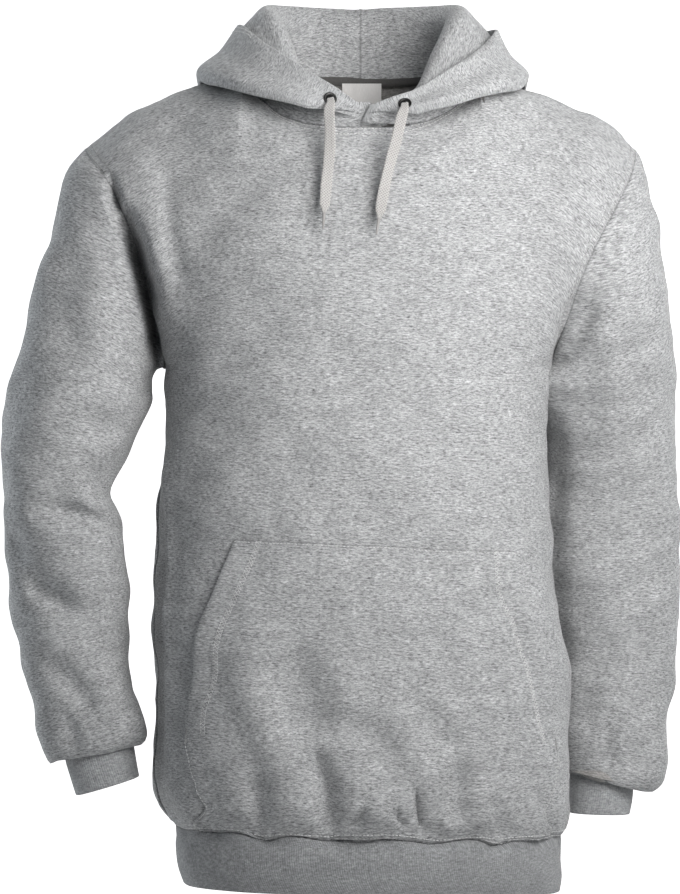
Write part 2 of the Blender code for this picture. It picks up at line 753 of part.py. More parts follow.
def wall_faces(points, around=False):
    """The faces of a wall: outer side, inner side and rims. Inner points follow the outer ones."""
    rows, columns = points.shape[:2]
    ids = np.arange(rows * columns).reshape(rows, columns)
    if around:
        ids = np.concatenate([ids, ids[:, :1]], axis=1)
        points = np.concatenate([points, points[:, :1]], axis=1)
    inner = ids + rows * columns
    faces = []
    for i in range(ids.shape[0] - 1):
        for j in range(ids.shape[1] - 1):
            faces.append((ids[i, j], ids[i, j + 1], ids[i + 1, j + 1], ids[i + 1, j]))
            faces.append((inner[i, j], inner[i, j + 1], inner[i + 1, j + 1], inner[i + 1, j]))
    for row in (0, -1):
        faces += rim_faces(ids[row], inner[row], points[row])
    if not around:
        for column in (0, -1):
            faces += rim_faces(ids[:, column], inner[:, column], points[:, column])
    return faces


def make_object(name, vertices, faces, colour, roughness):
    """A mesh object in the garment's collection, from points in millimetres."""
    mesh = bpy.data.meshes.new(name)
    points = [tuple(float(c) * MM for c in vertex) for vertex in vertices]
    mesh.from_pydata(points, [], [tuple(int(i) for i in face) for face in faces])
    tidy = bmesh.new()
    tidy.from_mesh(mesh)
    bmesh.ops.remove_doubles(tidy, verts=tidy.verts, dist=1e-6)
    bmesh.ops.recalc_face_normals(tidy, faces=tidy.faces)
    if tidy.calc_volume(signed=True) < 0:
        bmesh.ops.reverse_faces(tidy, faces=tidy.faces)
    tidy.to_mesh(mesh)
    tidy.free()
    mesh.shade_smooth()
    mesh.set_sharp_from_angle(angle=math.radians(SHARP_EDGE))
    obj = bpy.data.objects.new(name, mesh)
    GARMENT.objects.link(obj)
    finish(obj, colour, roughness)


def finish(obj, colour, roughness, metallic=0.0):
    material = bpy.data.materials.new(obj.name)
    material.use_nodes = True
    shader = material.node_tree.nodes["Principled BSDF"]
    shader.inputs["Base Color"].default_value = colour
    shader.inputs["Roughness"].default_value = roughness
    shader.inputs["Metallic"].default_value = metallic
    obj.data.materials.clear()
    obj.data.materials.append(material)


def make_wall(sheet):
    """Gives a sheet its wall, from its right side in towards the wearer."""
    shift = trims(sheet)
    outside = sheet.points + shift
    sheet.inside = outside - sheet.normals * sheet.thickness
    vertices = np.concatenate([outside.reshape(-1, 3), sheet.inside.reshape(-1, 3)])
    faces = wall_faces(sheet.points, sheet.around)
    make_object(sheet.name, vertices, faces, sheet.colour, 0.9)


# ---------------------------------------------------------------- pieces on the cloth


def make_pocket(front):
    """The pocket, laid on the front panel's own points and lifted a little between its seams."""
    first = int(np.argmax(BODY_ROWS >= POCKET_TOP))
    heights = BODY_ROWS[: first + 1]
    points = front.points[: first + 1]
    normals = front.normals[: first + 1]
    middle = points.shape[1] // 2
    lifted = []
    for height, row, normal in zip(heights, points, normals):
        run = run_of(row)
        run = run - run[middle]
        edges = [float(spline(POCKET["height"], POCKET[name], height)) for name in ("right", "left")]
        places = np.clip(run, -edges[0], edges[1])
        # Columns that lie past an edge move onto it, where they merge.
        place = np.stack([np.interp(places, run, row[:, k]) for k in range(3)], axis=-1)
        lean = unit(np.stack([np.interp(places, run, normal[:, k]) for k in range(3)], axis=-1))
        lift = float(spline(POCKET["height"], POCKET["lift"], height))
        lifted.append((place, lean, lift))
    place = np.stack([entry[0] for entry in lifted])
    lean = np.stack([entry[1] for entry in lifted])
    lift = np.array([entry[2] for entry in lifted])[:, None, None] + SEAM_GAP
    inside = place + lean * lift
    outside = inside + lean * POCKET_CLOTH
    vertices = np.concatenate([outside.reshape(-1, 3), inside.reshape(-1, 3)])
    faces = wall_faces(place)
    make_object("pocket", vertices, faces, HEATHER_GREY, 0.9)


def make_tape(back, hood_left, hood_right):
    """The tape over the back neck seam, on the inside, from the back panel up onto the hood."""
    columns = []
    for j in range(TAPE_FIRST, NECK_COLUMNS + 1 - TAPE_FIRST):
        from_side = NECK_COLUMNS // 2 + j
        if j <= NECK_COLUMNS // 2:
            hood, station = hood_left, from_side
        else:
            hood, station = hood_right, 2 * NECK_COLUMNS - from_side + len(LAP_PLACES)
        panel_side = back.inside[:, SHOULDER_COLUMNS + j]
        hood_side = hood.inside[:, station]
        seam = (panel_side[-1] + hood_side[0]) / 2
        down = unit(panel_side[-2] - panel_side[-1])
        up = unit(hood_side[1] - hood_side[0])
        lean = back.normals[-1, SHOULDER_COLUMNS + j]
        square_low = unit(lean - down * (lean @ down))
        square_high = unit(lean - up * (lean @ up))
        columns.append(
            [
                (panel_side[-1] + down * TAPE_BELOW, square_low),
                (seam, lean),
                (hood_side[0] + up * TAPE_ABOVE, square_high),
            ]
        )
    place = np.array([[point for point, _ in column] for column in columns]).swapaxes(0, 1)
    lean = np.array([[normal for _, normal in column] for column in columns]).swapaxes(0, 1)
    outside = place - lean * TAPE_OFF
    inside = outside - lean * TAPE
    vertices = np.concatenate([outside.reshape(-1, 3), inside.reshape(-1, 3)])
    faces = wall_faces(place)
    make_object("neck_tape", vertices, faces, LABEL_GREY, 0.8)
    return inside


def make_label(tape_inside):
    """The bare label, hanging inside the back neck from the tape."""
    seam = tape_inside[1][np.argsort(tape_inside[1][:, 0])]
    across = np.linspace(LABEL_RIGHT, LABEL_LEFT, LABEL_POINTS)
    depth = np.interp(across, seam[:, 0], seam[:, 1]) - SEAM_GAP - LABEL
    top = np.interp(0.0, seam[:, 0], seam[:, 2]) - LABEL_BELOW
    shares = np.linspace(0, 1, LABEL_POINTS)[:, None]
    inside = np.stack(
        np.broadcast_arrays(across, depth - LABEL_BOW * shares**2, top - LABEL_DROP * shares), axis=-1
    )
    outside = inside + (0, LABEL, 0)
    vertices = np.concatenate([outside.reshape(-1, 3), inside.reshape(-1, 3)])
    faces = wall_faces(inside)
    make_object("neck_label", vertices, faces, LABEL_GREY, 0.7)


def flap_point(sheet, place):
    """The point of a hood half's flap that is seen at a place from the front, and its normal."""
    flap = slice(-1 - HOOD_SPANS[-1] - HOOD_SPANS[-2], None)
    points = sheet.points[flap]
    normals = sheet.normals[flap]
    fine = np.linspace(0, 1, 21)
    best = None
    for i in range(points.shape[0] - 1):
        for j in range(points.shape[1] // 2):
            corners = (points[i, j], points[i, j + 1], points[i + 1, j], points[i + 1, j + 1])
            u, v = np.meshgrid(fine, fine)
            weights = ((1 - u) * (1 - v), u * (1 - v), (1 - u) * v, u * v)
            patch = sum(w[..., None] * c for w, c in zip(weights, corners))
            distance = np.hypot(patch[..., 0] - place[0], patch[..., 2] - place[1])
            at = np.unravel_index(np.argmin(distance), distance.shape)
            if best is None or distance[at] < best[0]:
                leans = (normals[i, j], normals[i, j + 1], normals[i + 1, j], normals[i + 1, j + 1])
                lean = sum(w[at] * c for w, c in zip(weights, leans))
                best = (distance[at], patch[at], unit(lean))
    return best[1], best[2]


def make_eyelet(name, sheet, place):
    point, normal = flap_point(sheet, place)
    centre = (point + normal * (EYELET_WIRE_RADIUS + EYELET_OFF)) * MM
    bpy.ops.mesh.primitive_torus_add(
        major_segments=20,
        minor_segments=6,
        major_radius=EYELET_MIDDLE_RADIUS * MM,
        minor_radius=EYELET_WIRE_RADIUS * MM,
        location=centre,
        rotation=Vector(normal).to_track_quat("Z", "Y").to_euler(),
    )
    eyelet = bpy.context.active_object
    eyelet.name = name
    eyelet.data.name = name
    eyelet.data.shade_smooth()
    for collection in list(eyelet.users_collection):
        collection.objects.unlink(eyelet)
    GARMENT.objects.link(eyelet)
    finish(eyelet, GUNMETAL, 0.35, 0.9)


def cord_points(route):
    """Points every CORD_STEP along the smooth curve through a cord's own points."""
    points = columns_of(route)
    count = int(run_of(points)[-1] // CORD_STEP) + 1
    return along(points, np.linspace(0, 1, count + 1))


def make_cord(name, points):
    """A flat cord: a curve drawn out to a ribbon with rounded edges."""
    curve = bpy.data.curves.new(name, "CURVE")
    curve.dimensions = "3D"
    curve.twist_mode = "MINIMUM"
    curve.extrude = (CORD_WIDTH - CORD_THICKNESS) / 2 * MM
    curve.bevel_depth = CORD_THICKNESS / 2 * MM
    curve.bevel_resolution = 2
    curve.use_fill_caps = True
    curve.resolution_u = 1
    spline_of_cord = curve.splines.new("POLY")
    spline_of_cord.points.add(len(points) - 1)
    for target, point in zip(spline_of_cord.points, points):
        target.co = (*(point * MM), 1.0)
        target.tilt = math.radians(CORD_TILT)
    cord = bpy.data.objects.new(name, curve)
    GARMENT.objects.link(cord)
    finish(cord, CORD_GREY, 0.85)


def make_tip(name, points):
    """The slim tapered tip that follows on from a cord's end."""
    end = Vector(points[-1])
    direction = (end - Vector(points[-2])).normalized()
    middle = (end + direction * (SEAM_GAP + TIP_LENGTH / 2)) * MM
    bpy.ops.mesh.primitive_cone_add(
        vertices=12,
        radius1=TIP_RADIUS * MM,
        radius2=TIP_RADIUS * 0.6 * MM,
        depth=TIP_LENGTH * MM,
        location=middle,
        rotation=direction.to_track_quat("Z", "Y").to_euler(),
    )
    tip = bpy.context.active_object
    tip.name = name
    tip.data.name = name
    for collection in list(tip.users_collection):
        collection.objects.unlink(tip)
    GARMENT.objects.link(tip)
    finish(tip, CORD_GREY, 0.6)


# ---------------------------------------------------------------- the hoodie


def body_rows():
    """Levels of a body panel's rows from the waistband's seam to the underarm."""
    pocket = np.linspace(GATHERED_ROWS[-1], POCKET_TOP, POCKET_SPANS + 1)
    upper = np.linspace(POCKET_TOP, UNDERARM, UPPER_SPANS + 1)
    return np.concatenate([GATHERED_ROWS, pocket[1:], upper[1:]])


def waistband_points(front_angles, back_angles):
    angles = np.concatenate([front_angles[:-1], back_angles[:-1]])
    return body(angles[None], BAND_ROWS[:, None])


def build():
    front = Sheet("front", panel(-1))
    back = Sheet("back", panel(1))
    sheets = [front, back]
    for side, name, rows, cuff_rows in (
        (-1, "right", SLEEVE_RIGHT, CUFF_RIGHT),
        (1, "left", SLEEVE_LEFT, CUFF_LEFT),
    ):
        stations = np.concatenate([armhole_ring(side)[None], rings(rows)])
        sleeve = Sheet(f"sleeve_{name}", tube(stations), sign=side, around=True)
        cuff_stations = np.concatenate([stations[-1:], rings(cuff_rows)])
        cuff = Sheet(f"cuff_{name}", cuff_stations, side, True, RIB, RIB_GREY)
        sheets += [sleeve, cuff]
    band = waistband_points(panel_angles(-90), panel_angles(90))
    sheets.append(Sheet("waistband", band, 1, True, RIB, RIB_GREY))
    hood_left = Sheet("hood_left", hood_half(1), 1)
    hood_right = Sheet("hood_right", hood_half(-1), -1)
    sheets += [hood_left, hood_right]
    set_normals(sheets)
    crease(sheets)
    set_normals(sheets)
    for sheet in sheets:
        make_wall(sheet)
    make_pocket(front)
    make_label(make_tape(back, hood_left, hood_right))
    make_eyelet("eyelet_right", hood_right, EYELET_RIGHT)
    make_eyelet("eyelet_left", hood_left, EYELET_LEFT)
    for name, route in (("right", CORD_ROUTE_RIGHT), ("left", CORD_ROUTE_LEFT)):
        points = cord_points(route)
        make_cord(f"drawcord_{name}", points)
        make_tip(f"cord_tip_{name}", points)


for old in list(bpy.data.objects):
    bpy.data.objects.remove(old)
GARMENT = bpy.data.collections.new("hoodie")
bpy.context.scene.collection.children.link(GARMENT)
BODY_ROWS = body_rows()
build()
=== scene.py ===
"""Dressed model of a pullover hoodie in heather-grey brushed fleece, filled out as if worn.

Every cloth piece is a fine sheet on the form of its solid in the frame, with its folds, seams and
stitching. Left and right are the wearer's: the wearer's left is at +X, and the front faces -Y. Sizes
and tables are in millimetres and degrees, and the objects are in metres.
"""

import math

import bmesh
import bpy
import numpy as np
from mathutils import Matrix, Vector


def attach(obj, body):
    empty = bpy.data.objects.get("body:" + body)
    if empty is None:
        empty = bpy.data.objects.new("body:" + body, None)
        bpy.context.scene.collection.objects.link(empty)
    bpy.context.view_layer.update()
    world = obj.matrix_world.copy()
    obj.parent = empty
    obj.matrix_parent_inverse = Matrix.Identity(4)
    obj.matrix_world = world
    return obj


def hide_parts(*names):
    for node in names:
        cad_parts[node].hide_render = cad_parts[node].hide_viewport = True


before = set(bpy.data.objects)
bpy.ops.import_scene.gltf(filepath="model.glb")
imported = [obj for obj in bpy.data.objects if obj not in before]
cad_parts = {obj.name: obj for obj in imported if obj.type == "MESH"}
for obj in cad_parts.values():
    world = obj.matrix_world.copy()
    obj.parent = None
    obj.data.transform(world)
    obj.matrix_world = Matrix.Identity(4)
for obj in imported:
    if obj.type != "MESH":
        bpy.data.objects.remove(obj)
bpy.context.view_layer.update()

MM = 0.001
SEAM_GAP = 0.3
FLEECE = 3.0  # thickness of brushed fleece
RIB = 2.6  # thickness of the rib, folded double
POCKET_CLOTH = 2.4
TAPE = 1.0
LABEL = 1.0

UNDERARM = -252.0  # level where the side seams meet the sleeves
SEAM = -670.0  # level of the waistband's seam
HEM = -722.0
POCKET_TOP = -410.5

GATHERED_ROWS = np.array([SEAM, -665, -657, -646, -630, -610, -587])
BAND_ROWS = np.array([HEM, -716, -702, -688, -677, SEAM])
POCKET_SPANS = 7  # spans from the gathered rows to the pocket's top
UPPER_SPANS = 5  # and on to the underarm
FINE = 6  # spans here for each span of the solids
SHOULDER_COLUMNS = 6 * FINE  # spans of a body panel along each shoulder seam
NECK_COLUMNS = 14 * FINE  # and along the neckline
ARMHOLE_ROWS = 10 * FINE  # spans from the underarm to the shoulder
SHOULDER_REACH = 0.235  # share of a body panel's width below each shoulder seam
SHOULDER_BUNCHING = 1.5  # above 1 the columns are closer together at the sleeve


def table(columns, *rows):
    """A short table, read by the names of its columns."""
    return dict(zip(columns.split(), np.array(rows, float).T))


# Level sections of the body, from the underarm to the hem. left and right are half widths, front and
# back half depths, power squares the section, turn twists it to the wearer's left, lean drops that side.
BODY = table(
    "height left right front back power turn lean",
    (-252, 172, 176, 126, 114, 2.30, 1.0, 0.010),
    (-300, 169, 177, 131, 113, 2.30, 2.0, 0.020),
    (-345, 169, 181, 134, 111, 2.35, 3.0, 0.032),
    (-410, 172, 185, 137, 110, 2.40, 5.0, 0.046),
    (-464, 179, 188, 139, 110, 2.40, 6.0, 0.042),
    (-510, 186, 188, 140, 112, 2.40, 7.0, 0.037),
    (-560, 188, 187, 141, 114, 2.40, 7.5, 0.033),
    (-615, 189, 187, 141, 116, 2.40, 8.0, 0.032),
    (-640, 189, 186, 139, 115, 2.40, 8.0, 0.031),
    (-655, 188, 182, 135, 112, 2.40, 8.0, 0.030),
    (-664, 186, 177, 130, 108, 2.40, 8.0, 0.029),
    (-670, 183, 171, 126, 105, 2.40, 8.0, 0.028),
    (-676, 182, 169, 125, 104, 2.40, 8.0, 0.028),
    (-690, 181, 168, 125, 104, 2.40, 8.0, 0.028),
    (-708, 182, 166, 123, 103, 2.40, 8.0, 0.026),
    (-722, 180, 161, 119, 99, 2.40, 8.0, 0.024),
)

# Where the rib gathers the body: the middle of each dip, how deep it is, and how far it pulls the seam down.
GATHERS = table(
    "angle depth drop",
    (-97, 3.0, 1.0),
    (-78, 4.0, 1.5),
    (-55, 4.0, 1.0),
    (-33, 6.0, 4.0),
    (-13, 5.0, 3.0),
    (12, 6.5, 4.5),
    (32, 6.0, 4.5),
    (54, 4.0, 1.5),
    (76, 3.5, 1.5),
    (99, 4.0, 1.5),
    (122, 5.5, 2.5),
    (144, 4.5, 2.0),
    (168, 6.0, 3.0),
    (190, 5.0, 2.5),
    (214, 6.0, 3.0),
    (238, 4.5, 2.0),
)
GIRTH_RADIUS = 150.0  # of the body, taken as round
GATHER_WIDTH = 5.5  # degrees
GATHER_RISE = 30.0  # how far a dip runs up the body
GATHER_FALL = 9.0  # and down the rib

# The shoulder seams, from the neck out to the sleeve.
SHOULDER = table(
    "side x y z",
    (-1, 106, 6, 8),
    (-1, 147, 7, 4),
    (-1, 181, 7, -9),
    (-1, 215, 5, -23),
    (-1, 240, 3, -41),
    (-1, 253, 1, -51),
    (1, 106, 6, 8),
    (1, 149, 8, 1),
    (1, 182, 8, -10),
    (1, 211, 6, -21),
    (1, 234, 3, -36),
    (1, 250, 0, -54),
)

# The armholes, from the underarm to the shoulder's tip, which are added at the ends. face -1 is the front.
ARMHOLE = table(
    "side face x y z",
    (-1, -1, 181, -36, -224),
    (-1, -1, 194, -60, -178),
    (-1, -1, 209, -67, -126),
    (-1, -1, 227, -55, -86),
    (-1, -1, 243, -30, -66),
    (-1, 1, 181, 36, -224),
    (-1, 1, 196, 58, -178),
    (-1, 1, 214, 63, -126),
    (-1, 1, 232, 53, -90),
    (-1, 1, 246, 31, -66),
    (1, -1, 177, -34, -230),
    (1, -1, 190, -60, -192),
    (1, -1, 206, -69, -152),
    (1, -1, 226, -60, -114),
    (1, -1, 243, -34, -80),
    (1, 1, 179, 38, -228),
    (1, 1, 194, 62, -185),
    (1, 1, 213, 68, -140),
    (1, 1, 232, 57, -100),
    (1, 1, 246, 33, -72),
)

# How a body panel leaves the underarm level and arrives at its top, as pulls in x, y and z: in the
# middle and at the sides, then at the neck and at the shoulders. y is towards the neck.
CHEST_PULL = np.array([0.0, 0.0, 215.0])
SIDE_PULL = np.array([0.0, 0.0, 285.0])
NECK_PULL = np.array([0.0, 47.5, 81.7])
SHOULDER_PULL = np.array([0.0, 185.0, 22.2])
NECK_SHARE = 0.27  # of a panel's width, from its middle to where it is wholly shoulder
ARMHOLE_SHARE = 0.30  # of a panel's width that follows the armhole

# The neckline: its height against the angle round the neck, from the front over the side to the back.
NECK_HALF_WIDTH = 106.0
NECK_FRONT = 82.0
NECK_BACK = 78.0
NECK = table(
    "angle height",
    (0, -38),
    (19, -37),
    (31, -33),
    (42, -26),
    (56, -14),
    (75, -1),
    (90, 8),
    (110, 12),
    (140, 12),
    (180, 10),
)

# Sections of the sleeves from the armhole to the cuff. outer and inner are where a section is farthest
# from and nearest to the body, front and back are how far it reaches in Y.
SLEEVE_RIGHT = table(
    "outer_x outer_z inner_x inner_z front back power",
    (-263, -70, -180, -251, -68, 66, 2.0),
    (-275, -102, -185, -253, -74, 70, 2.0),
    (-285, -142, -188, -257, -80, 72, 2.0),
    (-295, -178, -190, -262, -85, 72, 2.05),
    (-305, -222, -191, -273, -90, 71, 2.1),
    (-318, -279, -191, -287, -92, 68, 2.15),
    (-324, -304, -198, -305, -92, 65, 2.2),
    (-326, -328, -209, -326, -91, 62, 2.2),
    (-325, -347, -219, -346, -89, 58, 2.2),
    (-323, -364, -226, -366, -86, 53, 2.2),
    (-322, -386, -218, -384, -84, 49, 2.2),
    (-321, -410, -213, -406, -83, 46, 2.2),
    (-318, -445, -211, -442, -82, 41, 2.2),
    (-315, -478, -211, -480, -81, 36, 2.2),
    (-309, -505, -210, -510, -80, 31, 2.2),
    (-297, -551, -200, -550, -77, 25, 2.2),
    (-290, -584, -195, -572, -73, 21, 2.2),
    (-286, -602, -194, -584, -69, 17, 2.2),
    (-280, -610, -198, -590, -64, 12, 2.2),
    (-268, -602, -206, -585, -60, 7, 2.2),
)
CUFF_RIGHT = table(
    "outer_x outer_z inner_x inner_z front back power",
    (-266, -610, -205, -593, -60, 7, 2.2),
    (-262, -622, -203, -605, -60, 7, 2.2),
    (-257, -638, -200, -621, -59, 6, 2.2),
)
SLEEVE_LEFT = table(
    "outer_x outer_z inner_x inner_z front back power",
    (257, -78, 183, -256, -70, 70, 2.0),
    (267, -113, 184, -259, -71, 78, 2.0),
    (273, -146, 184, -263, -69, 86, 2.0),
    (279, -185, 180, -268, -63, 95, 2.05),
    (283, -224, 174, -278, -52, 104, 2.1),
    (286, -279, 169, -296, -33, 114, 2.15),
    (291, -338, 166, -338, -8, 121, 2.2),
    (292, -418, 165, -418, 10, 124, 2.2),
    (292, -480, 172, -480, 16, 125, 2.2),
    (288, -537, 179, -535, 19, 123, 2.2),
    (283, -590, 181, -580, 21, 119, 2.2),
    (279, -620, 182, -604, 22, 115, 2.2),
    (276, -633, 183, -616, 23, 112, 2.2),
    (268, -640, 186, -622, 26, 107, 2.2),
    (250, -630, 193, -612, 34, 98, 2.2),
)
CUFF_LEFT = table(
    "outer_x outer_z inner_x inner_z front back power",
    (250, -640, 192, -622, 33, 99, 2.2),
    (249, -650, 191, -638, 33, 99, 2.2),
    (247, -661, 190, -659, 34, 98, 2.2),
)

# The hood's section at stations round the neck, 0 at the front and 1 at the back. From its seam the
# cloth stands up to the crest, rolls over, hangs to the fold and comes up again to the face edge.
# full says how much of the fold there is: at 0 the cloth runs straight from seam to edge.
HOOD_LEFT = table(
    "station full crest_x crest_y crest_z fold_x fold_y fold_z edge_x edge_y edge_z",
    (0.000, 0.0, 10, -84, -31, 10, -90, -33, 7, -88, -22),
    (0.071, 0.6, 32, -82, -22, 33, -93, -31, 28, -91, -14),
    (0.143, 1.0, 46, -77, -10, 50, -96, -28, 46, -90, -6),
    (0.214, 1.0, 56, -70, 0, 65, -96, -24, 60, -86, 2),
    (0.290, 1.0, 65, -58, 16, 82, -90, -20, 77, -77, 13),
    (0.380, 1.0, 76, -36, 40, 110, -74, -11, 100, -58, 29),
    (0.490, 1.0, 88, -4, 64, 140, -34, -3, 119, -20, 49),
    (0.610, 1.0, 90, 40, 76, 149, 22, 1, 124, 30, 57),
    (0.730, 1.0, 72, 76, 79, 132, 82, -50, 108, 86, 58),
    (0.860, 1.0, 38, 98, 79, 74, 124, -122, 60, 131, 56),
    (1.000, 1.0, 0, 104, 77, 0, 133, -152, 0, 146, 53),
)
HOOD_RIGHT = table(
    "station full crest_x crest_y crest_z fold_x fold_y fold_z edge_x edge_y edge_z",
    (0.000, 0.0, -12, -84, -30, -12, -90, -33, -4, -88, -17),
    (0.071, 0.6, -30, -82, -18, -31, -93, -28, -24, -91, -3),
    (0.143, 1.0, -45, -76, -5, -49, -95, -23, -42, -88, 8),
    (0.214, 1.0, -55, -68, 7, -64, -95, -19, -55, -82, 17),
    (0.290, 1.0, -64, -55, 23, -81, -89, -15, -69, -72, 27),
    (0.380, 1.0, -73, -34, 45, -108, -73, -7, -89, -54, 41),
    (0.490, 1.0, -83, -4, 66, -136, -34, 1, -104, -18, 56),
    (0.610, 1.0, -86, 40, 76, -146, 22, 3, -112, 30, 61),
    (0.730, 1.0, -70, 76, 79, -130, 82, -50, -104, 86, 60),
    (0.860, 1.0, -38, 98, 79, -74, 124, -122, -60, 131, 57),
    (1.000, 1.0, 0, 104, 77, 0, 133, -152, 0, 146, 53),
)
ROLL = 12.0  # radius of the crest
FOLD = 5.0  # radius of the fold at the bottom
HOOD_SPANS = (2, 2, 2, 2, 2, 2, 1, 1, 3, 3)  # rows between the points of the hood's section
ROLL_RISE = 34.0  # where the crest is lower than this above the seam, its roll is slimmer
CREST_SHAPE = (0.95, 0.8)  # of ROLL: out to where the roll meets the cloth, and down to it
FOLD_SHAPE = (1.0, 0.7, 1.4)  # of FOLD: in, out and up to where the bottom fold meets the cloth
FLAP_HOLLOW = 3.0  # how far the flap dips between its fold and its edge
LAP = 5.0  # at the front the left half passes this far over the right one
LAP_RISE = 1.6  # and its seam rises by this there
LAP_SPAN = 180 / 14  # degrees round the neck
LAP_REACH = 0.5  # the right half runs on past the middle by this share of LAP_SPAN
LAP_SLOPE = (1.0, 1.2, 0.6)  # how much of the seam's way these columns follow

# The kangaroo pocket: how far its two edges lie from the middle of the front, against the height.
POCKET = table(
    "height right left lift",
    (-410, 124, 136, 0.0),
    (-440, 137, 135, 1.2),
    (-490, 160, 152, 1.8),
    (-540, 178, 168, 1.5),
    (-587, 188, 182, 0.8),
    (-640, 186, 184, 0.0),
    (-670, 176, 178, 0.0),
)

# The folds of the dressed cloth: the side that each is pressed in from (-90 the front, 90 the back, 0 the
# wearer's left, 180 the right), where it begins and ends, how far it bows to its left side, its width and
# depth. A negative depth is a ridge.
FOLDS = {
    "front sleeve_right": table(
        "lean x0 z0 x1 z1 bow width depth",
        (-90, -238, -58, -228, -84, 1, 7, 3),
        (-90, -224, -84, -203, -150, 2, 5, 22),
        (-90, -212, -118, -183, -256, -5, 8, 66),
    ),
    "front": table(
        "lean x0 z0 x1 z1 bow width depth",
        (-90, -142, 20, -136, -130, 0, 30, -4),
        (-90, 140, 10, 134, -130, 0, 30, -3),
        (-90, -176, -72, -159, -186, 3, 9, 5),
        (-90, -164, -170, -176, -300, 2, 18, 4),
        (-145, -181, -330, -181, -664, -1, 5, 5),
        (-135, -174, -330, -174, -600, -1, 4, -4),
        (-90, -176, -656, 10, -667, 0, 15, 5),
        (-90, 0, -667, 190, -668, 0, 15, 5),
        (-90, -60, -496, -32, -590, 5, 24, 11),
        (-90, -104, -512, -74, -604, 4, 18, -7),
        (-90, -24, -560, 36, -612, -5, 18, 7),
        (-90, -42, -585, -28, -668, -2, 13, 14),
        (-90, -92, -606, -84, -666, 1, 12, 9),
        (-90, -8, -600, 6, -634, 1, 14, -4),
        (-90, 2, -640, 24, -650, 0, 13, -9),
        (-90, -18, -660, 6, -640, 3, 5, 7),
        (-90, 42, -660, 26, -640, -3, 5, 7),
        (-90, 46, -620, 53, -668, 1, 4, 8),
        (-90, 84, -592, 86, -666, 1, 13, 12),
        (-90, 52, -550, 84, -600, 3, 20, 7),
        (-90, 116, -630, 118, -668, 0, 9, 5),
        (-90, 148, -600, 142, -666, 2, 10, 5),
        (-90, -134, -622, -130, -666, 1, 10, 5),
        (-90, 60, -470, 110, -560, 6, 26, 5),
    ),
    "sleeve_right": table(
        "lean x0 z0 x1 z1 bow width depth",
        (-90, -252, -290, -203, -314, 4, 13, 9),
        (-90, -286, -380, -218, -398, -4, 10, 12),
        (-90, -253, -360, -212, -392, 2, 11, -8),
        (-90, -318, -370, -303, -436, 3, 11, 12),
        (-90, -303, -434, -247, -472, 5, 12, 12),
        (-90, -227, -477, -208, -502, 0, 9, -6),
        (-90, -282, -512, -236, -568, -4, 12, 9),
        (-90, -266, -84, -256, -280, 4, 22, 8),
        (-90, -262, -560, -256, -600, 1, 8, 4),
        (-90, -232, -552, -228, -588, 1, 7, 3),
        (90, -270, -300, -212, -330, -4, 14, 6),
        (90, -292, -372, -222, -404, 4, 13, 7),
        (90, -300, -452, -236, -470, 4, 13, 5),
        (90, -262, -540, -240, -596, 2, 10, 5),
    ),
    "front sleeve_left": table(
        "lean x0 z0 x1 z1 bow width depth",
        (-90, 205, -190, 188, -250, -3, 8, 5),
    ),
    "sleeve_left": table(
        "lean x0 z0 x1 z1 bow width depth",
        (180, 188, -246, 174, -296, 0, 18, -21),
        (-90, 178, -280, 178, -560, 2, 10, 9),
        (-90, 216, -216, 206, -330, 4, 14, 5),
        (-90, 262, -240, 240, -330, 4, 18, 3),
        (-90, 218, -500, 206, -590, 4, 13, 4),
        (-90, 254, -470, 262, -580, -4, 15, 4),
        (-90, 228, -570, 222, -618, 1, 8, 4),
        (-90, 252, -584, 246, -626, 1, 8, 4),
        (90, 200, -300, 262, -336, 4, 14, 6),
        (90, 196, -396, 268, -424, -4, 14, 6),
        (90, 206, -500, 256, -540, 4, 14, 5),
        (90, 236, -570, 224, -622, 2, 10, 4),
    ),
    "hood_right": table(
        "lean x0 z0 x1 z1 bow width depth",
        (-90, -104, 66, -94, 47, 0, 5, 14),
        (-90, -94, 47, -62, 29, 0, 4, 8),
    ),
    "hood_left": table(
        "lean x0 z0 x1 z1 bow width depth",
        (-90, 120, 56, 104, 34, 0, 6, 16),
        (-90, 104, 34, 80, 22, 0, 4, 8),
    ),
    "back": table(
        "lean x0 z0 x1 z1 bow width depth",
        (90, -150, -250, -96, -400, 12, 20, 6),
        (90, 146, -250, 88, -410, -12, 20, 6),
        (90, -70, -480, -34, -600, 6, 18, 5),
        (90, 70, -500, 48, -610, -5, 18, 4),
        (90, -120, -600, -112, -664, 1, 9, 4),
        (90, -84, -612, -80, -666, 1, 8, 4),
        (90, -40, -600, -34, -668, -1, 8, 5),
        (90, 6, -616, 8, -668, 0, 9, 4),
        (90, 44, -604, 40, -666, 1, 8, 5),
        (90, 96, -610, 92, -664, 0, 9, 4),
        (90, 140, -596, 136, -660, 1, 10, 4),
        (90, 0, -190, 4, -330, 6, 28, 3),
    ),
}

TAPE_FIRST = 2 * FINE  # columns of the back neckline left free at each end
TAPE_BELOW = 4.0
TAPE_ABOVE = 5.0
TAPE_OFF = 0.7  # how far it stands off the cloth
LABEL_LEFT = 19.0
LABEL_RIGHT = -17.0
LABEL_DROP = 44.0
LABEL_BELOW = 1.0  # how far its top lies below the seam
LABEL_POINTS = 28  # along each side
LABEL_BOW = 3.0  # how far its lower end stands off the back

EYELET_RIGHT = (-29.0, -13.5)  # seen from the front
EYELET_LEFT = (37.5, -21.5)
EYELET_MIDDLE_RADIUS = 4.9
EYELET_WIRE_RADIUS = 1.15
EYELET_FLATNESS = 0.6
EYELET_LIFT = 0.6
HOLE_INSET = 0.6  # the dark disc is smaller than the ring by this
HOLE_DEPTH = 0.5
HOLE_LIFT = 0.15

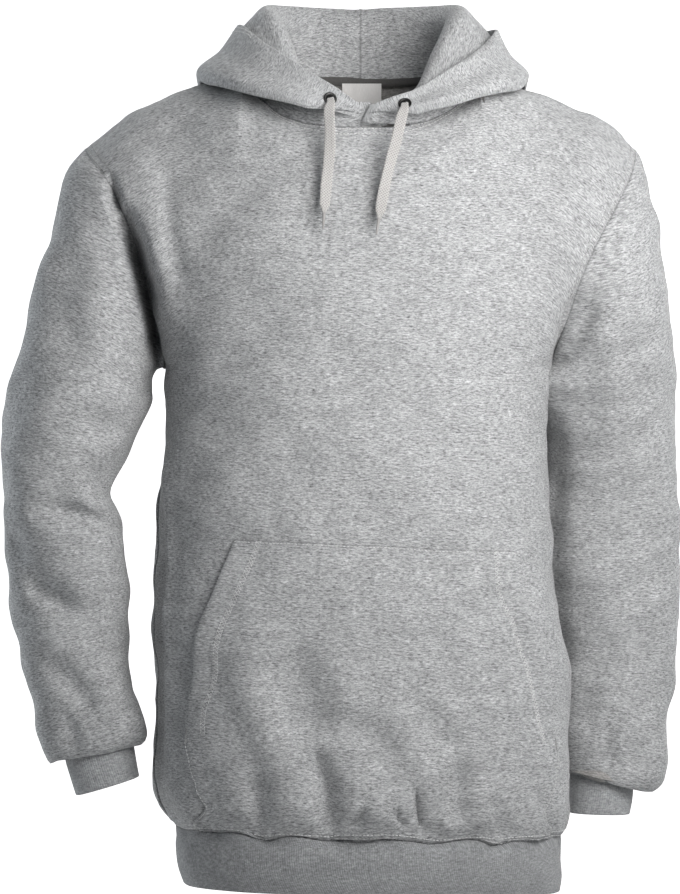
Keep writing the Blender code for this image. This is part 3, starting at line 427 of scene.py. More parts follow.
CORD_WIDTH = 10.0
CORD_THICKNESS = 2.0
CORD_ROUTE_RIGHT = table(
    "x y z",
    (-29.0, -98.0, -15.0),
    (-28.5, -100.2, -24.0),
    (-27.8, -104.0, -44.0),
    (-28.5, -109.5, -65.0),
    (-31.0, -113.5, -90.0),
    (-33.0, -118.5, -117.0),
)
CORD_ROUTE_LEFT = table(
    "x y z",
    (37.3, -105.6, -23.0),
    (35.5, -106.8, -32.0),
    (31.0, -109.5, -52.0),
    (24.5, -113.0, -76.0),
    (19.0, -117.0, -101.0),
    (15.5, -120.5, -122.0),
)
CORD_STEP = 2.0
CORD_AT_EYELET = 6.5  # its width where it comes out
CORD_WIDENS = 16.0  # length over which it reaches its whole width
CORD_NARROWS = 9.0  # length over which it narrows to its tip
CORD_NARROWING = 0.62  # share of its width that it loses there
CORD_EMERGES = 0.8  # height above the eyelet where it begins
CORD_STANDS = 3.2  # height above the eyelet before it falls
CORD_FALL = (0, -0.6, -4.0)  # and how far that point lies from the eyelet's axis
# How a cord sways: degrees, half waves along it, and phase.
CORD_SWAY_RIGHT = (14.0, 1.6, 0.3)
CORD_SWAY_LEFT = (16.0, 1.4, 2.2)
TIP_LENGTH = 15.0
TIP_RADIUS = 1.5
TIP_TAPER = (1.1, 0.6)  # its radius at the cord and at its end, as shares of TIP_RADIUS
TIP_ROUNDING = 0.5
TIP_SUNK = 0.6  # how far it reaches into the cord

ROW_STEP = 4.5  # between two rows of a sleeve
ROUNDING = (0.0, 0.4, 0.9, 1.5)  # rows this far from a free edge round it
FAN_GROWTH = 0.25  # a hood half's face edge is longer than its neck seam by this share
STITCH_ROWS = 16  # rows from an edge in which its stitching lies
# How far rows of stitches lie from their edge.
SEAM_STITCHES = (2.2, 7.6)  # at the neck and the armholes
RIB_STITCHES = (2.0, 7.4)
CUFF_STITCHES = (2.2, 7.2)
HOOD_STITCHES = (5.0, 9.0)
POCKET_STITCH = 2.0
POCKET_RIB_STITCHES = (2.6, 7.0)
OPENING_STITCHES = (21.4, 25.8)
COVER_STITCH = 23.6
TACK_PLACE = 3.0
SHARP_EDGE = 50

HEATHER_GREY = 0.38
# The waistband's rib is the body's yarn painted darker: painted shade low on the garment.
RIB_SHADED_GREY = 0.29
CUFF_GREY = 0.36
THREAD_GREY = 0.36
PALE_THREAD_GREY = 0.62
CORD_GREY = 0.46
# Painted shade: the tape is painted darker than its own grey, for the shade inside the back neck.
TAPE_SHADED_GREY = 0.11
LABEL_GREY = 0.72

CAMERA_DISTANCE = 5.0
CAMERA_X = -0.019
CAMERA_Z = -0.324
FRAME_WIDTH = 0.616  # what the camera sees at the origin
SENSOR_WIDTH = 36.0
FLOOR_LEVEL = -1.6
FLOOR_SIZE = 12.0
FLOOR_BACK = 2.0  # its middle lies this far behind the garment
BACKDROP_SIZE = 100.0
BACKDROP_BACK = 15.0
WORLD_LIGHT = 0.02
WORLD_COLOUR = (0.90, 0.95, 1.0, 1.0)
# Lights: name, place, what they look at, width, power and colour.
LIGHTS = (
    ("key", (0.45, -0.9, 0.2), (0.1, 0.0, -0.1), 0.6, 13.1, (1.0, 0.99, 0.98)),
    ("side", (1.3, -1.4, 0.1), (0.0, 0.0, -0.3), 0.9, 5.6, (0.98, 0.99, 1.0)),
    ("right", (0.9, -0.7, 0.1), (0.1, 0.0, -0.2), 0.6, 2.4, (0.98, 0.99, 1.0)),
    ("fill", (-0.7, -1.3, 0.6), (-0.1, 0.0, -0.1), 0.7, 1.5, (0.86, 0.93, 1.0)),
    ("low_left", (-1.0, -0.2, -0.4), (-0.2, 0.0, -0.4), 0.6, 0.8, (0.86, 0.93, 1.0)),
    ("rim_left", (-1.3, 0.8, 0.1), (-0.2, 0.0, -0.3), 0.9, 9.0, (0.86, 0.94, 1.0)),
    ("rim_right", (1.5, 0.8, 0.2), (0.2, 0.0, -0.3), 0.9, 4.0, (0.92, 0.96, 1.0)),
)
LIGHT_HEIGHT = 1.3  # of a light, as a share of its width
BACKDROP_GLOW = 1.35

POCKET_COLUMNS = 110
POCKET_CUT = 900.0  # it is cut from another place of the cloth than the front
POCKET_SEWN = -583.0  # below this its sides are sewn down
POCKET_GAPE = 7.0  # how far its openings stand off the front
POCKET_GAPE_WIDTH = 18.0  # from an opening's edge to where the gape has mostly gone
POCKET_LIFT_REACH = 40  # from an opening's edge to where the pocket has its whole lift

# Beside the neck the front falls in one soft slope between two distances from the middle.
EVEN_FROM = 82.0
EVEN_TO = 168.0
EVEN_TOP_ROWS = 8  # it fades out over this many rows below the shoulder seam
EVEN_LOW_ROWS = 16  # and over this many above the underarm

FOLD_END = 0.35  # what is left of a fold's depth at its ends
FOLD_TAPER = 0.3  # share of its length over which it fades
FOLD_FACING = 1.6  # above 1 a fold keeps its depth on cloth that turns away from its side
SEAM_DIP = 0.9  # how deep a seam lies
SEAM_DIP_WIDTH = 3.0
STEEP = 1.25  # cloth drawn out more than this has more grain on it
PUCKER_LENGTH = 17.0
PUCKER_HEIGHT = 0.35
PUCKER_REACH = 9.0

# Slow, uneven swells of the cloth: waves a millimetre along each axis.
SWELLS = table(
    "x y z phase height",
    (0.0061, 0.0047, 0.0083, 0.4, 0.7),
    (-0.0093, 0.0071, 0.0052, 2.1, 0.6),
    (0.0122, -0.0038, -0.0147, 4.0, 0.4),
    (-0.0041, -0.0126, 0.0191, 1.2, 0.35),
    (0.0237, 0.0093, 0.0119, 5.3, 0.22),
    (-0.0202, 0.0177, 0.0278, 3.3, 0.18),
)
SWELL_SHARE = {"front": 1.6, "back": 1.8, "sleeve_left": 1.9, "sleeve_right": 1.9}

# ---------------------------------------------------------------- curves


def spline(knots, values, at):
    """A smooth curve through values at rising or falling knots, read at the given places."""
    order = np.argsort(knots)
    knots = np.asarray(knots, float)[order]
    values = np.asarray(values, float)[order]
    slopes = np.gradient(values, knots, axis=0)
    at = np.clip(np.asarray(at, float), knots[0], knots[-1])
    before = np.clip(np.searchsorted(knots, at) - 1, 0, len(knots) - 2)
    width = knots[before + 1] - knots[before]
    t = (at - knots[before]) / width
    for _ in range(values.ndim - 1):
        width = width[..., None]
        t = t[..., None]
    return (
        (1 + 2 * t) * (1 - t) ** 2 * values[before]
        + t * (1 - t) ** 2 * width * slopes[before]
        + t**2 * (3 - 2 * t) * values[before + 1]
        + t**2 * (t - 1) * width * slopes[before + 1]
    )


def run_of(points):
    """The length along a row of points up to each of them."""
    steps = np.linalg.norm(np.diff(points, axis=0), axis=-1)
    return np.concatenate([[0.0], np.cumsum(steps)])


def grid_runs(points):
    """The length up to every point of a grid, along its rows and along its columns."""
    across = np.linalg.norm(np.diff(points, axis=1), axis=-1)
    across = np.concatenate([np.zeros((len(points), 1)), np.cumsum(across, axis=1)], axis=1)
    up = np.linalg.norm(np.diff(points, axis=0), axis=-1)
    up = np.concatenate([np.zeros((1, points.shape[1])), np.cumsum(up, axis=0)])
    return across, up


def along(points, shares):
    """Points at shares, 0 to 1, of the length of a smooth curve through the given ones."""
    points = np.asarray(points, float)
    run = run_of(points)
    fine = spline(run, points, np.linspace(0, run[-1], 40 * len(points)))
    length = run_of(fine)
    places = np.asarray(shares) * length[-1]
    return np.stack([np.interp(places, length, fine[:, k]) for k in range(3)], axis=-1)


def unit(vectors):
    return vectors / np.maximum(np.linalg.norm(vectors, axis=-1, keepdims=True), 1e-9)


def power(wave, exponent):
    return np.sign(wave) * np.abs(wave) ** exponent


def columns_of(rows, names="x y z"):
    return np.stack([rows[name] for name in names.split()], axis=-1)


# ---------------------------------------------------------------- the garment's form


def gathering(angle):
    """The dips of the gathered seam at an angle: how deep they are, and how far the seam drops."""
    away = (np.asarray(angle)[..., None] - GATHERS["angle"] + 180) % 360 - 180
    weight = np.exp(-((away / GATHER_WIDTH) ** 2))
    return weight @ GATHERS["depth"], weight @ GATHERS["drop"]


def body(angle, height):
    """A point of the body at an angle round it, 0 in front and 90 at the left, and at a height."""
    angle, height = np.broadcast_arrays(np.asarray(angle, float), np.asarray(height, float))
    row = {name: spline(BODY["height"], BODY[name], height) for name in BODY}
    sine = np.sin(np.radians(angle))
    cosine = np.cos(np.radians(angle))
    half_width = np.where(sine > 0, row["left"], row["right"])
    half_depth = np.where(cosine > 0, row["front"], row["back"])
    depth, drop = gathering(angle)
    above = height - SEAM
    fade = np.exp(-((above / np.where(above > 0, GATHER_RISE, GATHER_FALL)) ** 2))
    inward = 1 - depth * fade / GIRTH_RADIUS
    x = half_width * inward * power(sine, 2 / row["power"])
    y = -half_depth * inward * power(cosine, 2 / row["power"])
    turn = np.radians(row["turn"])
    dropped = height - drop * np.exp(-((above / GATHER_FALL) ** 2))
    turned_x = x * np.cos(turn) - y * np.sin(turn)
    turned_y = x * np.sin(turn) + y * np.cos(turn)
    return np.stack([turned_x, turned_y, dropped - row["lean"] * turned_x], axis=-1)


def neck(angle):
    """A point of the neck seam at an angle round it, 0 in front and 90 at the left."""
    angle = np.asarray(angle, float)
    sine = np.sin(np.radians(angle))
    cosine = np.cos(np.radians(angle))
    from_front = np.abs((angle + 180) % 360 - 180)
    depth = np.where(cosine > 0, NECK_FRONT, NECK_BACK)
    height = spline(NECK["angle"], NECK["height"], from_front)
    return np.stack([NECK_HALF_WIDTH * sine, -depth * cosine, height], axis=-1)


def seam_rows(rows, **wanted):
    """The points of those rows of a table whose columns hold the wanted numbers, their x by side."""
    chosen = np.all([rows[name] == value for name, value in wanted.items()], axis=0)
    return columns_of(rows)[chosen] * (wanted["side"], 1, 1)


def shoulder(side, shares):
    return along(seam_rows(SHOULDER, side=side), shares)


def armhole(side, face):
    """Points up one edge of the armhole, from the underarm to the shoulder's tip."""
    first = body(90.0 * side, UNDERARM)[None]
    last = shoulder(side, [1.0])
    points = np.concatenate([first, seam_rows(ARMHOLE, side=side, face=face), last])
    return along(points, np.linspace(0, 1, ARMHOLE_ROWS + 1))


def shoulder_shares():
    """Shares of a shoulder seam, closer together at the sleeve."""
    return np.linspace(0, 1, SHOULDER_COLUMNS + 1) ** SHOULDER_BUNCHING


def column_shares():
    """Shares of a body panel's width, closer together at its sides."""
    side = shoulder_shares() * SHOULDER_REACH
    middle = np.linspace(SHOULDER_REACH, 1 - SHOULDER_REACH, NECK_COLUMNS + 1)
    return np.concatenate([side, middle[1:-1], 1 - side[::-1]])


def panel_angles(first):
    """The angles of a body panel's columns, from one side seam to the other."""
    fine = np.linspace(first, first + 180, 721)
    length = run_of(body(fine, UNDERARM))
    return np.interp(column_shares() * length[-1], length, fine)


def panel_top(face):
    """The shoulder seam, neckline and shoulder seam of a body panel."""
    shares = shoulder_shares()
    first = -90 if face < 0 else 90
    side = -1 if face < 0 else 1
    neckline = neck(first + np.linspace(0, 180, NECK_COLUMNS + 1))
    start = shoulder(side, 1 - shares)[:-1]
    end = shoulder(-side, 1 - shares)[::-1][1:]
    return np.concatenate([start, neckline, end])


def hermite(start, leave, end, arrive, t):
    return (
        (1 + 2 * t) * (1 - t) ** 2 * start
        + t * (1 - t) ** 2 * leave
        + t**2 * (3 - 2 * t) * end
        + t**2 * (t - 1) * arrive
    )


def smooth_step(values):
    values = np.clip(values, 0, 1)
    return values * values * (3 - 2 * values)


def chest(face, angles):
    """The rows of a body panel above the underarm, from chest to shoulder and neck."""
    bottom = body(angles, UNDERARM)
    top = panel_top(face)
    shares = column_shares()
    # 1 over the shoulders, 0 at the middle of the neck.
    over = smooth_step(np.abs(shares - 0.5) / NECK_SHARE)[:, None]
    forward = np.array([1.0, -face, 1.0])
    leave = CHEST_PULL * (1 - over) + SIDE_PULL * over
    arrive = forward * (NECK_PULL * (1 - over) + SHOULDER_PULL * over)
    t = np.linspace(0, 1, ARMHOLE_ROWS + 1)[:, None, None]
    points = hermite(bottom, leave, top, arrive, t)
    sides = (-1, 1) if face < 0 else (1, -1)
    for side, column, distance in ((sides[0], 0, shares), (sides[1], -1, 1 - shares)):
        missing = armhole(side, face) - points[:, column]
        fade = (1 - smooth_step(distance / ARMHOLE_SHARE)) ** 1.5
        points = points + missing[:, None] * fade[:, None]
    return points


def panel(face):
    """Front or back panel, from the waistband's seam up to the shoulders."""
    angles = panel_angles(-90 if face < 0 else 90)
    low = body(angles[None], BODY_ROWS[:, None])
    return np.concatenate([low[:-1], chest(face, angles)])


def rings(rows):
    """Points round each section of a sleeve or cuff, from outer over front, inner and back."""
    angle = np.radians(np.arange(2 * ARMHOLE_ROWS) * 180 / ARMHOLE_ROWS)
    outer = columns_of(rows, "outer_x outer_z")
    inner = columns_of(rows, "inner_x inner_z")
    exponent = (2 / rows["power"])[:, None]
    across = power(np.cos(angle), exponent)[..., None]
    flat = (outer + inner)[:, None] / 2 + (outer - inner)[:, None] / 2 * across
    middle = ((rows["front"] + rows["back"]) / 2)[:, None]
    reach = ((rows["back"] - rows["front"]) / 2)[:, None]
    y = middle - reach * power(np.sin(angle), exponent)
    return np.stack([flat[..., 0], y, flat[..., 1]], axis=-1)


def armhole_ring(side):
    """The armhole's points, from the shoulder's tip down the front and up the back."""
    front = armhole(side, -1)[::-1]
    back = armhole(side, 1)
    return np.concatenate([front, back[1:-1]])


def tube(stations):
    """Rows of points smoothly through the stations, close together."""
    steps = np.linalg.norm(np.diff(stations, axis=0), axis=-1).mean(axis=1)
    knots = np.concatenate([[0.0], np.cumsum(steps)])
    places = [
        np.linspace(a, b, max(1, round((b - a) / ROW_STEP)), endpoint=False)
        for a, b in zip(knots[:-1], knots[1:])
    ]
    return spline(knots, stations, np.concatenate([*places, knots[-1:]]))


def hood_section(seam, row):
    """The points that one section of the hood passes through, from its seam to the face edge."""
    crest = np.array([row["crest_x"], row["crest_y"], row["crest_z"]])
    fold = np.array([row["fold_x"], row["fold_y"], row["fold_z"]])
    edge = np.array([row["edge_x"], row["edge_y"], row["edge_z"]])
    up = np.array([0.0, 0.0, 1.0])
    out = unit(((crest + fold) / 2) * (1, 1, 0))
    roll = ROLL * min(1.0, max(0.25, (crest[2] - seam[2]) / ROLL_RISE))
    over = out * roll * CREST_SHAPE[0]
    down = up * roll * CREST_SHAPE[1]
    over_in = crest - over - down
    over_out = crest + over - down
    fold_in = fold + (up * FOLD_SHAPE[2] - out * FOLD_SHAPE[0]) * FOLD
    fold_out = fold + (up * FOLD_SHAPE[2] + out * FOLD_SHAPE[1]) * FOLD
    return np.array(
        [
            seam,
            seam * 0.5 + over_in * 0.5 + out,
            over_in,
            crest,
            over_out,
            (over_out + fold_in) / 2,
            fold_in,
            fold,
            fold_out,
            (fold_out + edge) / 2 - out * FLAP_HOLLOW,
            edge,
        ]
    )


def hood_half(side):
    """One half of the hood: rows from the neck seam to the face edge, columns from front to back."""
    rows = HOOD_LEFT if side > 0 else HOOD_RIGHT
    angles = np.linspace(0, 180, NECK_COLUMNS + 1)
    seams = neck(side * angles)
    if side < 0:
        shares = np.arange(2 * FINE, 0, -1) / (2 * FINE) * LAP_REACH
        past = seams[0] + (neck(LAP_SPAN) - seams[0]) * shares[:, None]
        seams = np.concatenate([past, seams])
        angles = np.concatenate([-LAP_SPAN * shares, angles])
    columns = []
    for angle, seam in zip(angles, seams):
        row = {name: spline(rows["station"], rows[name], angle / 180) for name in rows}
        points = hood_section(seam, row)
        run = run_of(points)
        spans = [
            np.linspace(a, b, n * FINE, endpoint=False)
            for a, b, n in zip(run[:-1], run[1:], HOOD_SPANS)
        ]
        places = np.concatenate([*spans, run[-1:]])
        folded = spline(run, points, places)
        straight = points[0] + (points[-1] - points[0]) * (places / run[-1])[:, None]
        column = straight + (folded - straight) * np.clip(row["full"], 0, 1)
        if side > 0:
            column = column + np.array([0, -LAP, LAP_RISE]) * np.clip(2 - angle / LAP_SPAN, 0, 1)
        if angle < 0:
            column = column + (seam - neck(0)) * LAP_SLOPE
            column[0] = seam
        columns.append(column)
    return np.stack(columns, axis=1)


# ---------------------------------------------------------------- cloth


class Sheet:
    """A cloth piece before it has a wall: rows and columns of points, its right side by sign.

    Its edges are bottom and top, its first and last row, and left and right, its first and last column.
    """

    def __init__(self, name, points, sign=1, around=False, thickness=FLEECE, seams=(), free=()):
        self.name = name
        self.points = points
        self.sign = sign
        self.around = around
        self.thickness = thickness
        self.seams = seams
        self.free = free
        self.fan = name.startswith("hood")
        self.normals = None
        self.inside = None
        self.map = None


def raw_normals(sheet):
    """The normals of a sheet at its points, each as long as the area round it."""
    points = sheet.points
    if sheet.around:
        points = np.concatenate([points, points[:, :1]], axis=1)
    a = points[:-1, :-1]
    b = points[:-1, 1:]
    c = points[1:, 1:]
    d = points[1:, :-1]
    face = np.cross(c - a, d - b) * sheet.sign
    total = np.zeros_like(points)
    for rows in (slice(0, -1), slice(1, None)):
        for columns in (slice(0, -1), slice(1, None)):
            total[rows, columns] += face
    if sheet.around:
        total[:, 0] += total[:, -1]
        total = total[:, :-1]
    return total


def shared(sheets, values):
    """The values summed over all the points of all sheets that lie at one place, and how many they are."""
    keys = np.concatenate([np.round(s.points.reshape(-1, 3), 2) for s in sheets]) + 0.0
    _, index = np.unique(keys, axis=0, return_inverse=True)
    index = index.reshape(-1)
    flat = np.concatenate([v.reshape(-1, 3) for v in values])
    total = np.zeros((index.max() + 1, 3))
    np.add.at(total, index, flat)
    count = np.bincount(index)[:, None]
    parts = np.split(np.arange(len(index)), np.cumsum([s.points.size // 3 for s in sheets])[:-1])
    return [
        ((total / count)[index[part]]).reshape(sheet.points.shape)
        for part, sheet in zip(parts, sheets)
    ]


def set_normals(sheets):
    """Normals that sheets sewn together share along their seams."""
    for sheet, normals in zip(sheets, shared(sheets, [raw_normals(s) for s in sheets])):
        sheet.normals = unit(normals)


def pressed(sheet, rows):
    """How far the folds of a table push the points of a sheet, each straight away from its side."""
    start = columns_of(rows, "x0 z0")
    line = columns_of(rows, "x1 z1") - start
    length = np.linalg.norm(line, axis=-1)
    away = sheet.points[..., None, (0, 2)] - start
    share = (away * line).sum(-1) / length**2
    on_line = np.clip(share, 0, 1)
    aside = (away[..., 0] * line[:, 1] - away[..., 1] * line[:, 0]) / length
    aside = aside - rows["bow"] * 4 * on_line * (1 - on_line)
    distance = np.hypot(aside, (share - on_line) * length)
    strength = FOLD_END + (1 - FOLD_END) * smooth_step(np.minimum(on_line, 1 - on_line) / FOLD_TAPER)
    total = np.zeros_like(sheet.points)
    for lean in np.unique(rows["lean"]):
        side = np.array([math.cos(math.radians(lean)), math.sin(math.radians(lean)), 0.0])
        mine = rows["lean"] == lean
        depths = (rows["depth"] * np.exp(-((distance / rows["width"]) ** 2)) * strength)[..., mine]
        depth = np.maximum(depths, 0).max(axis=-1) + np.minimum(depths, 0).min(axis=-1)
        facing = np.clip((sheet.normals @ side) * FOLD_FACING, 0, 1)
        total -= side * (depth * facing)[..., None]
    return total


def puckers(sheet):
    """Small waves of the cloth along its seams."""
    total = np.zeros(sheet.points.shape[:2])
    for edge in sheet.seams:
        away = edge_run(sheet, edge)
        points = sheet.points.swapaxes(0, 1) if edge in ("left", "right") else sheet.points
        run = run_of(points[-1 if edge in ("top", "right") else 0])
        phase = run * 2 * math.pi / PUCKER_LENGTH
        wave = np.sin(phase + 1.7 * np.sin(phase / 3.7)) * (0.6 + 0.4 * np.sin(phase / 2.3 + 1.0))
        wave = wave[:, None] if edge in ("left", "right") else wave[None, :]
        total += PUCKER_HEIGHT * wave * np.exp(-away / PUCKER_REACH)
    return total


def crease(sheets):
    """Presses the folds, swells and seams into the sheets, and keeps shared edges shared."""
    moved = []
    for sheet in sheets:
        depth = SEAM_DIP * np.exp(-((seam_distance(sheet) / SEAM_DIP_WIDTH) ** 2)) + puckers(sheet)
        swell = SWELL_SHARE.get(sheet.name, 0.3)
        depth = depth + ripples(sheet.points, SWELLS) * swell
        shift = -depth[..., None] * sheet.normals
        for names, rows in FOLDS.items():
            if sheet.name in names.split():
                shift = shift + pressed(sheet, rows)
        moved.append(shift)
    for sheet, shift in zip(sheets, shared(sheets, moved)):
        sheet.points = sheet.points + shift


def follow(sheet, smooth):
    """Carries the grain's map down the steep walls of the deepest folds."""
    if sheet.fan:
        return
    places, before = sheet.points, smooth
    if sheet.around:
        places, before = (np.concatenate([grid, grid[:, :1]], axis=1) for grid in (places, before))
    steps, plain = (np.linalg.norm(np.diff(grid, axis=1), axis=-1) for grid in (places, before))
    extra = np.cumsum(np.maximum(steps - STEEP * plain, 0), axis=1)
    extra = np.concatenate([np.zeros((len(extra), 1)), extra], axis=1)
    if not sheet.around:
        extra = extra - extra[:, extra.shape[1] // 2][:, None]
    sheet.map = sheet.map + np.stack([extra, 0 * extra], axis=-1) * MM


# ---------------------------------------------------------------- dressed cloth


def body_rows():
    """Levels of a body panel's rows from the waistband's seam to the underarm."""
    pocket = np.linspace(GATHERED_ROWS[-1], POCKET_TOP, POCKET_SPANS + 1)
    upper = np.linspace(POCKET_TOP, UNDERARM, UPPER_SPANS + 1)
    levels = np.concatenate([GATHERED_ROWS, pocket[1:], upper[1:]])
    return refined(levels)


def refined(values):
    """The values with FINE - 1 more between each two of them."""
    at = np.arange((len(values) - 1) * FINE + 1) / FINE
    return np.interp(at, np.arange(len(values)), values)


def ripples(points, waves):
    """A slow, uneven swell over the cloth, summed from plain waves."""
    total = np.zeros(points.shape[:-1])
    for x, y, z, phase, height in zip(*(waves[name] for name in "x y z phase height".split())):
        total += height * np.sin((points @ (x, y, z)) * 2 * math.pi + phase)
    return total


def edge_run(sheet, edge):
    """How far along the cloth every point lies from one edge of its sheet."""
    points = sheet.points
    if edge in ("left", "right"):
        points = points.swapaxes(0, 1)
    if edge in ("top", "right"):
        points = points[::-1]
    run = grid_runs(points)[1]
    if edge in ("top", "right"):
        run = run[::-1]
    return run.T if edge in ("left", "right") else run


def seam_distance(sheet):
    """How far every point lies from the nearest sewn edge."""
    runs = [edge_run(sheet, edge) for edge in sheet.seams]
    return np.min(runs, axis=0) if runs else np.full(sheet.points.shape[:2], 1000.0)


def with_edge_rows(points, edge):
    """The points with more rows close to one free edge, so that it can be rounded."""
    rows = points if edge == "bottom" else points[::-1]
    step = np.linalg.norm(rows[1] - rows[0], axis=-1, keepdims=True)
    new = [rows[0] + (rows[1] - rows[0]) * np.minimum(away / step, 0.9) for away in ROUNDING[1:]]
    rows = np.concatenate([rows[:1], np.stack(new), rows[1:]])
    return rows if edge == "bottom" else rows[::-1]


def rounded(sheet):
    """How far a wall's two sides draw in towards its middle, close to its free edges."""
    inset = np.zeros(sheet.points.shape[:2])
    half = sheet.thickness / 2
    for edge in sheet.free:
        away = np.clip(1 - edge_run(sheet, edge) / half, 0, 1)
        inset = np.maximum(inset, half * (1 - np.sqrt(1 - away**2)))
    return inset[..., None]


def cloth_map(sheet):
    """Metres along and across the grain at every point, read from the smooth form before its folds.

    A tube gets its first column once more at the end.
    """
    points = sheet.points
    if sheet.around:
        points = np.concatenate([points, points[:, :1]], axis=1)
    across, up = grid_runs(points)
    if sheet.fan:
        # A hood half is cut with its neck seam and its face edge nearly square to each other.
        reach = run_of(points[0])[None, :] * (1 + FAN_GROWTH * up / up[-1])
        turn = up / up[-1] * math.pi / 2
        return np.stack([reach * np.cos(turn), reach * np.sin(turn)], axis=-1) * MM
    if sheet.around:
        # The grain of a tube runs square to its length, also where its end is cut on the slant.
        centres = points[:, :-1].mean(axis=1)
        reach = max(1, len(centres) // 5)
        padded = np.pad(centres, ((reach, reach), (0, 0)), mode="reflect", reflect_type="odd")
        ahead = unit(padded[2 * reach :] - padded[: -2 * reach])
        gained = (np.diff(centres, axis=0) * (ahead[1:] + ahead[:-1]) / 2).sum(-1)
        ahead = ahead[:, None]
        level = np.concatenate([[0.0], np.cumsum(gained)])[:, None]
        level = level + ((points - centres[:, None]) * ahead).sum(-1)
        steps = np.diff(points, axis=1)
        steps = np.linalg.norm(steps - (steps * ahead).sum(-1, keepdims=True) * ahead, axis=-1)
        across = np.concatenate([np.zeros((len(points), 1)), np.cumsum(steps, axis=1)], axis=1)
        return np.stack([across, level], axis=-1) * MM
    straight = len(BODY_ROWS) - 1
    levels = np.broadcast_to(BODY_ROWS[:, None], up[: straight + 1].shape)
    level = np.concatenate([levels, up[straight + 1 :]])
    level[straight + 1 :] += UNDERARM - up[straight]
    return np.stack([across - across[:, across.shape[1] // 2][:, None], level], axis=-1) * MM


def corners_of(grid):
    """The four corners of every cell of a grid, in their order round the cell."""
    rows = grid.shape[0] - 1
    columns = grid.shape[1] - 1
    corners = ((0, 0), (0, 1), (1, 1), (1, 0))
    parts = [grid[i : rows + i, j : columns + j] for i, j in corners]
    return np.stack(parts, axis=2).reshape(rows * columns, 4, *grid.shape[2:])


def wall_faces(rows, columns, uv, around=False):
    """The faces of a wall and the uvs of their corners: its two sides, then its rims.

    The points of its outer side come before those of its inner side.
    """
    ids = np.arange(rows * columns).reshape(rows, columns)
    if around:
        ids = np.concatenate([ids, ids[:, :1]], axis=1)
    inner = ids + rows * columns
    faces = [corners_of(ids), corners_of(inner)]
    uvs = [corners_of(uv).reshape(-1, 2)] * 2
    rims = [(ids[row], inner[row], uv[row]) for row in (0, -1)]
    if not around:
        rims += [(ids[:, column], inner[:, column], uv[:, column]) for column in (0, -1)]
    for a, b, edge_uv in rims:
        faces.append(np.stack([a[:-1], b[:-1], b[1:], a[1:]], axis=1))
        parts = (edge_uv[:-1], edge_uv[:-1], edge_uv[1:], edge_uv[1:])
        uvs.append(np.stack(parts, axis=1).reshape(-1, 2))
    return faces, uvs


def mesh_from(name, vertices, faces, materials, uvs, seam=None, material_ids=None):
    """An object from points in millimetres, with a uv for each face's corners."""
    mesh = bpy.data.meshes.new(name)
    mesh.from_pydata((np.asarray(vertices) * MM).tolist(), [], [tuple(face) for face in faces])
    layer = mesh.uv_layers.new(name="cloth")
    layer.data.foreach_set("uv", np.concatenate(uvs).ravel())
    if seam is not None:
        attribute = mesh.attributes.new("seam", "FLOAT", "POINT")
        attribute.data.foreach_set("value", np.asarray(seam, float) * MM)
    if material_ids is not None:
        mesh.polygons.foreach_set("material_index", np.asarray(material_ids, int))
    for material in materials:
        mesh.materials.append(material)
    tidy = bmesh.new()
    tidy.from_mesh(mesh)
    bmesh.ops.remove_doubles(tidy, verts=tidy.verts, dist=2e-6)
    bmesh.ops.recalc_face_normals(tidy, faces=tidy.faces)
    if tidy.calc_volume(signed=True) < 0:
        bmesh.ops.reverse_faces(tidy, faces=tidy.faces)
    tidy.to_mesh(mesh)
    tidy.free()
    mesh.shade_smooth()
    mesh.set_sharp_from_angle(angle=math.radians(SHARP_EDGE))
    obj = bpy.data.objects.new(name, mesh)
    bpy.context.scene.collection.objects.link(obj)
    return obj


def dress(sheet, materials):
    """The wall of a fine sheet, as an object that stands for the sheet's node."""
    inset = rounded(sheet)
    base = sheet.points
    outside = base - sheet.normals * inset
    inside = base - sheet.normals * (sheet.thickness - inset)
    sheet.inside = inside
    faces, uvs = wall_faces(*base.shape[:2], sheet.map, sheet.around)
    # The last material is the inner side's, the second part of the faces.
    sides = np.zeros(len(faces), int)
    sides[1] = len(materials) - 1
    material_ids = np.repeat(sides, [len(part) for part in faces])
    distance = seam_distance(sheet).ravel()
    vertices = np.concatenate([outside.reshape(-1, 3), inside.reshape(-1, 3)])
    piece = mesh_from(
        f"cloth_{sheet.name}",
        vertices,
        np.concatenate(faces).tolist(),
        materials,
        uvs,
        np.concatenate([distance, distance]),
        material_ids,
    )
    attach(piece, "root")
    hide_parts(sheet.name)
    return piece


# ---------------------------------------------------------------- stitching


def inset_line(sheet, edge, distance, part=slice(None)):
    """A line on a sheet's right side, at a distance from one of its edges, and the normals there."""
    points, normals = sheet.points, sheet.normals
    if edge in ("left", "right"):
        points, normals = points.swapaxes(0, 1), normals.swapaxes(0, 1)
    if edge in ("top", "right"):
        points, normals = points[::-1], normals[::-1]
    points, normals = points[:STITCH_ROWS, part], normals[:STITCH_ROWS, part]
    places = []
    leans = []
    for column in range(points.shape[1]):
        run = run_of(points[:, column])
        places.append([np.interp(distance, run, points[:, column, k]) for k in range(3)])
        leans.append([np.interp(distance, run, normals[:, column, k]) for k in range(3)])
    return np.array(places), unit(np.array(leans))


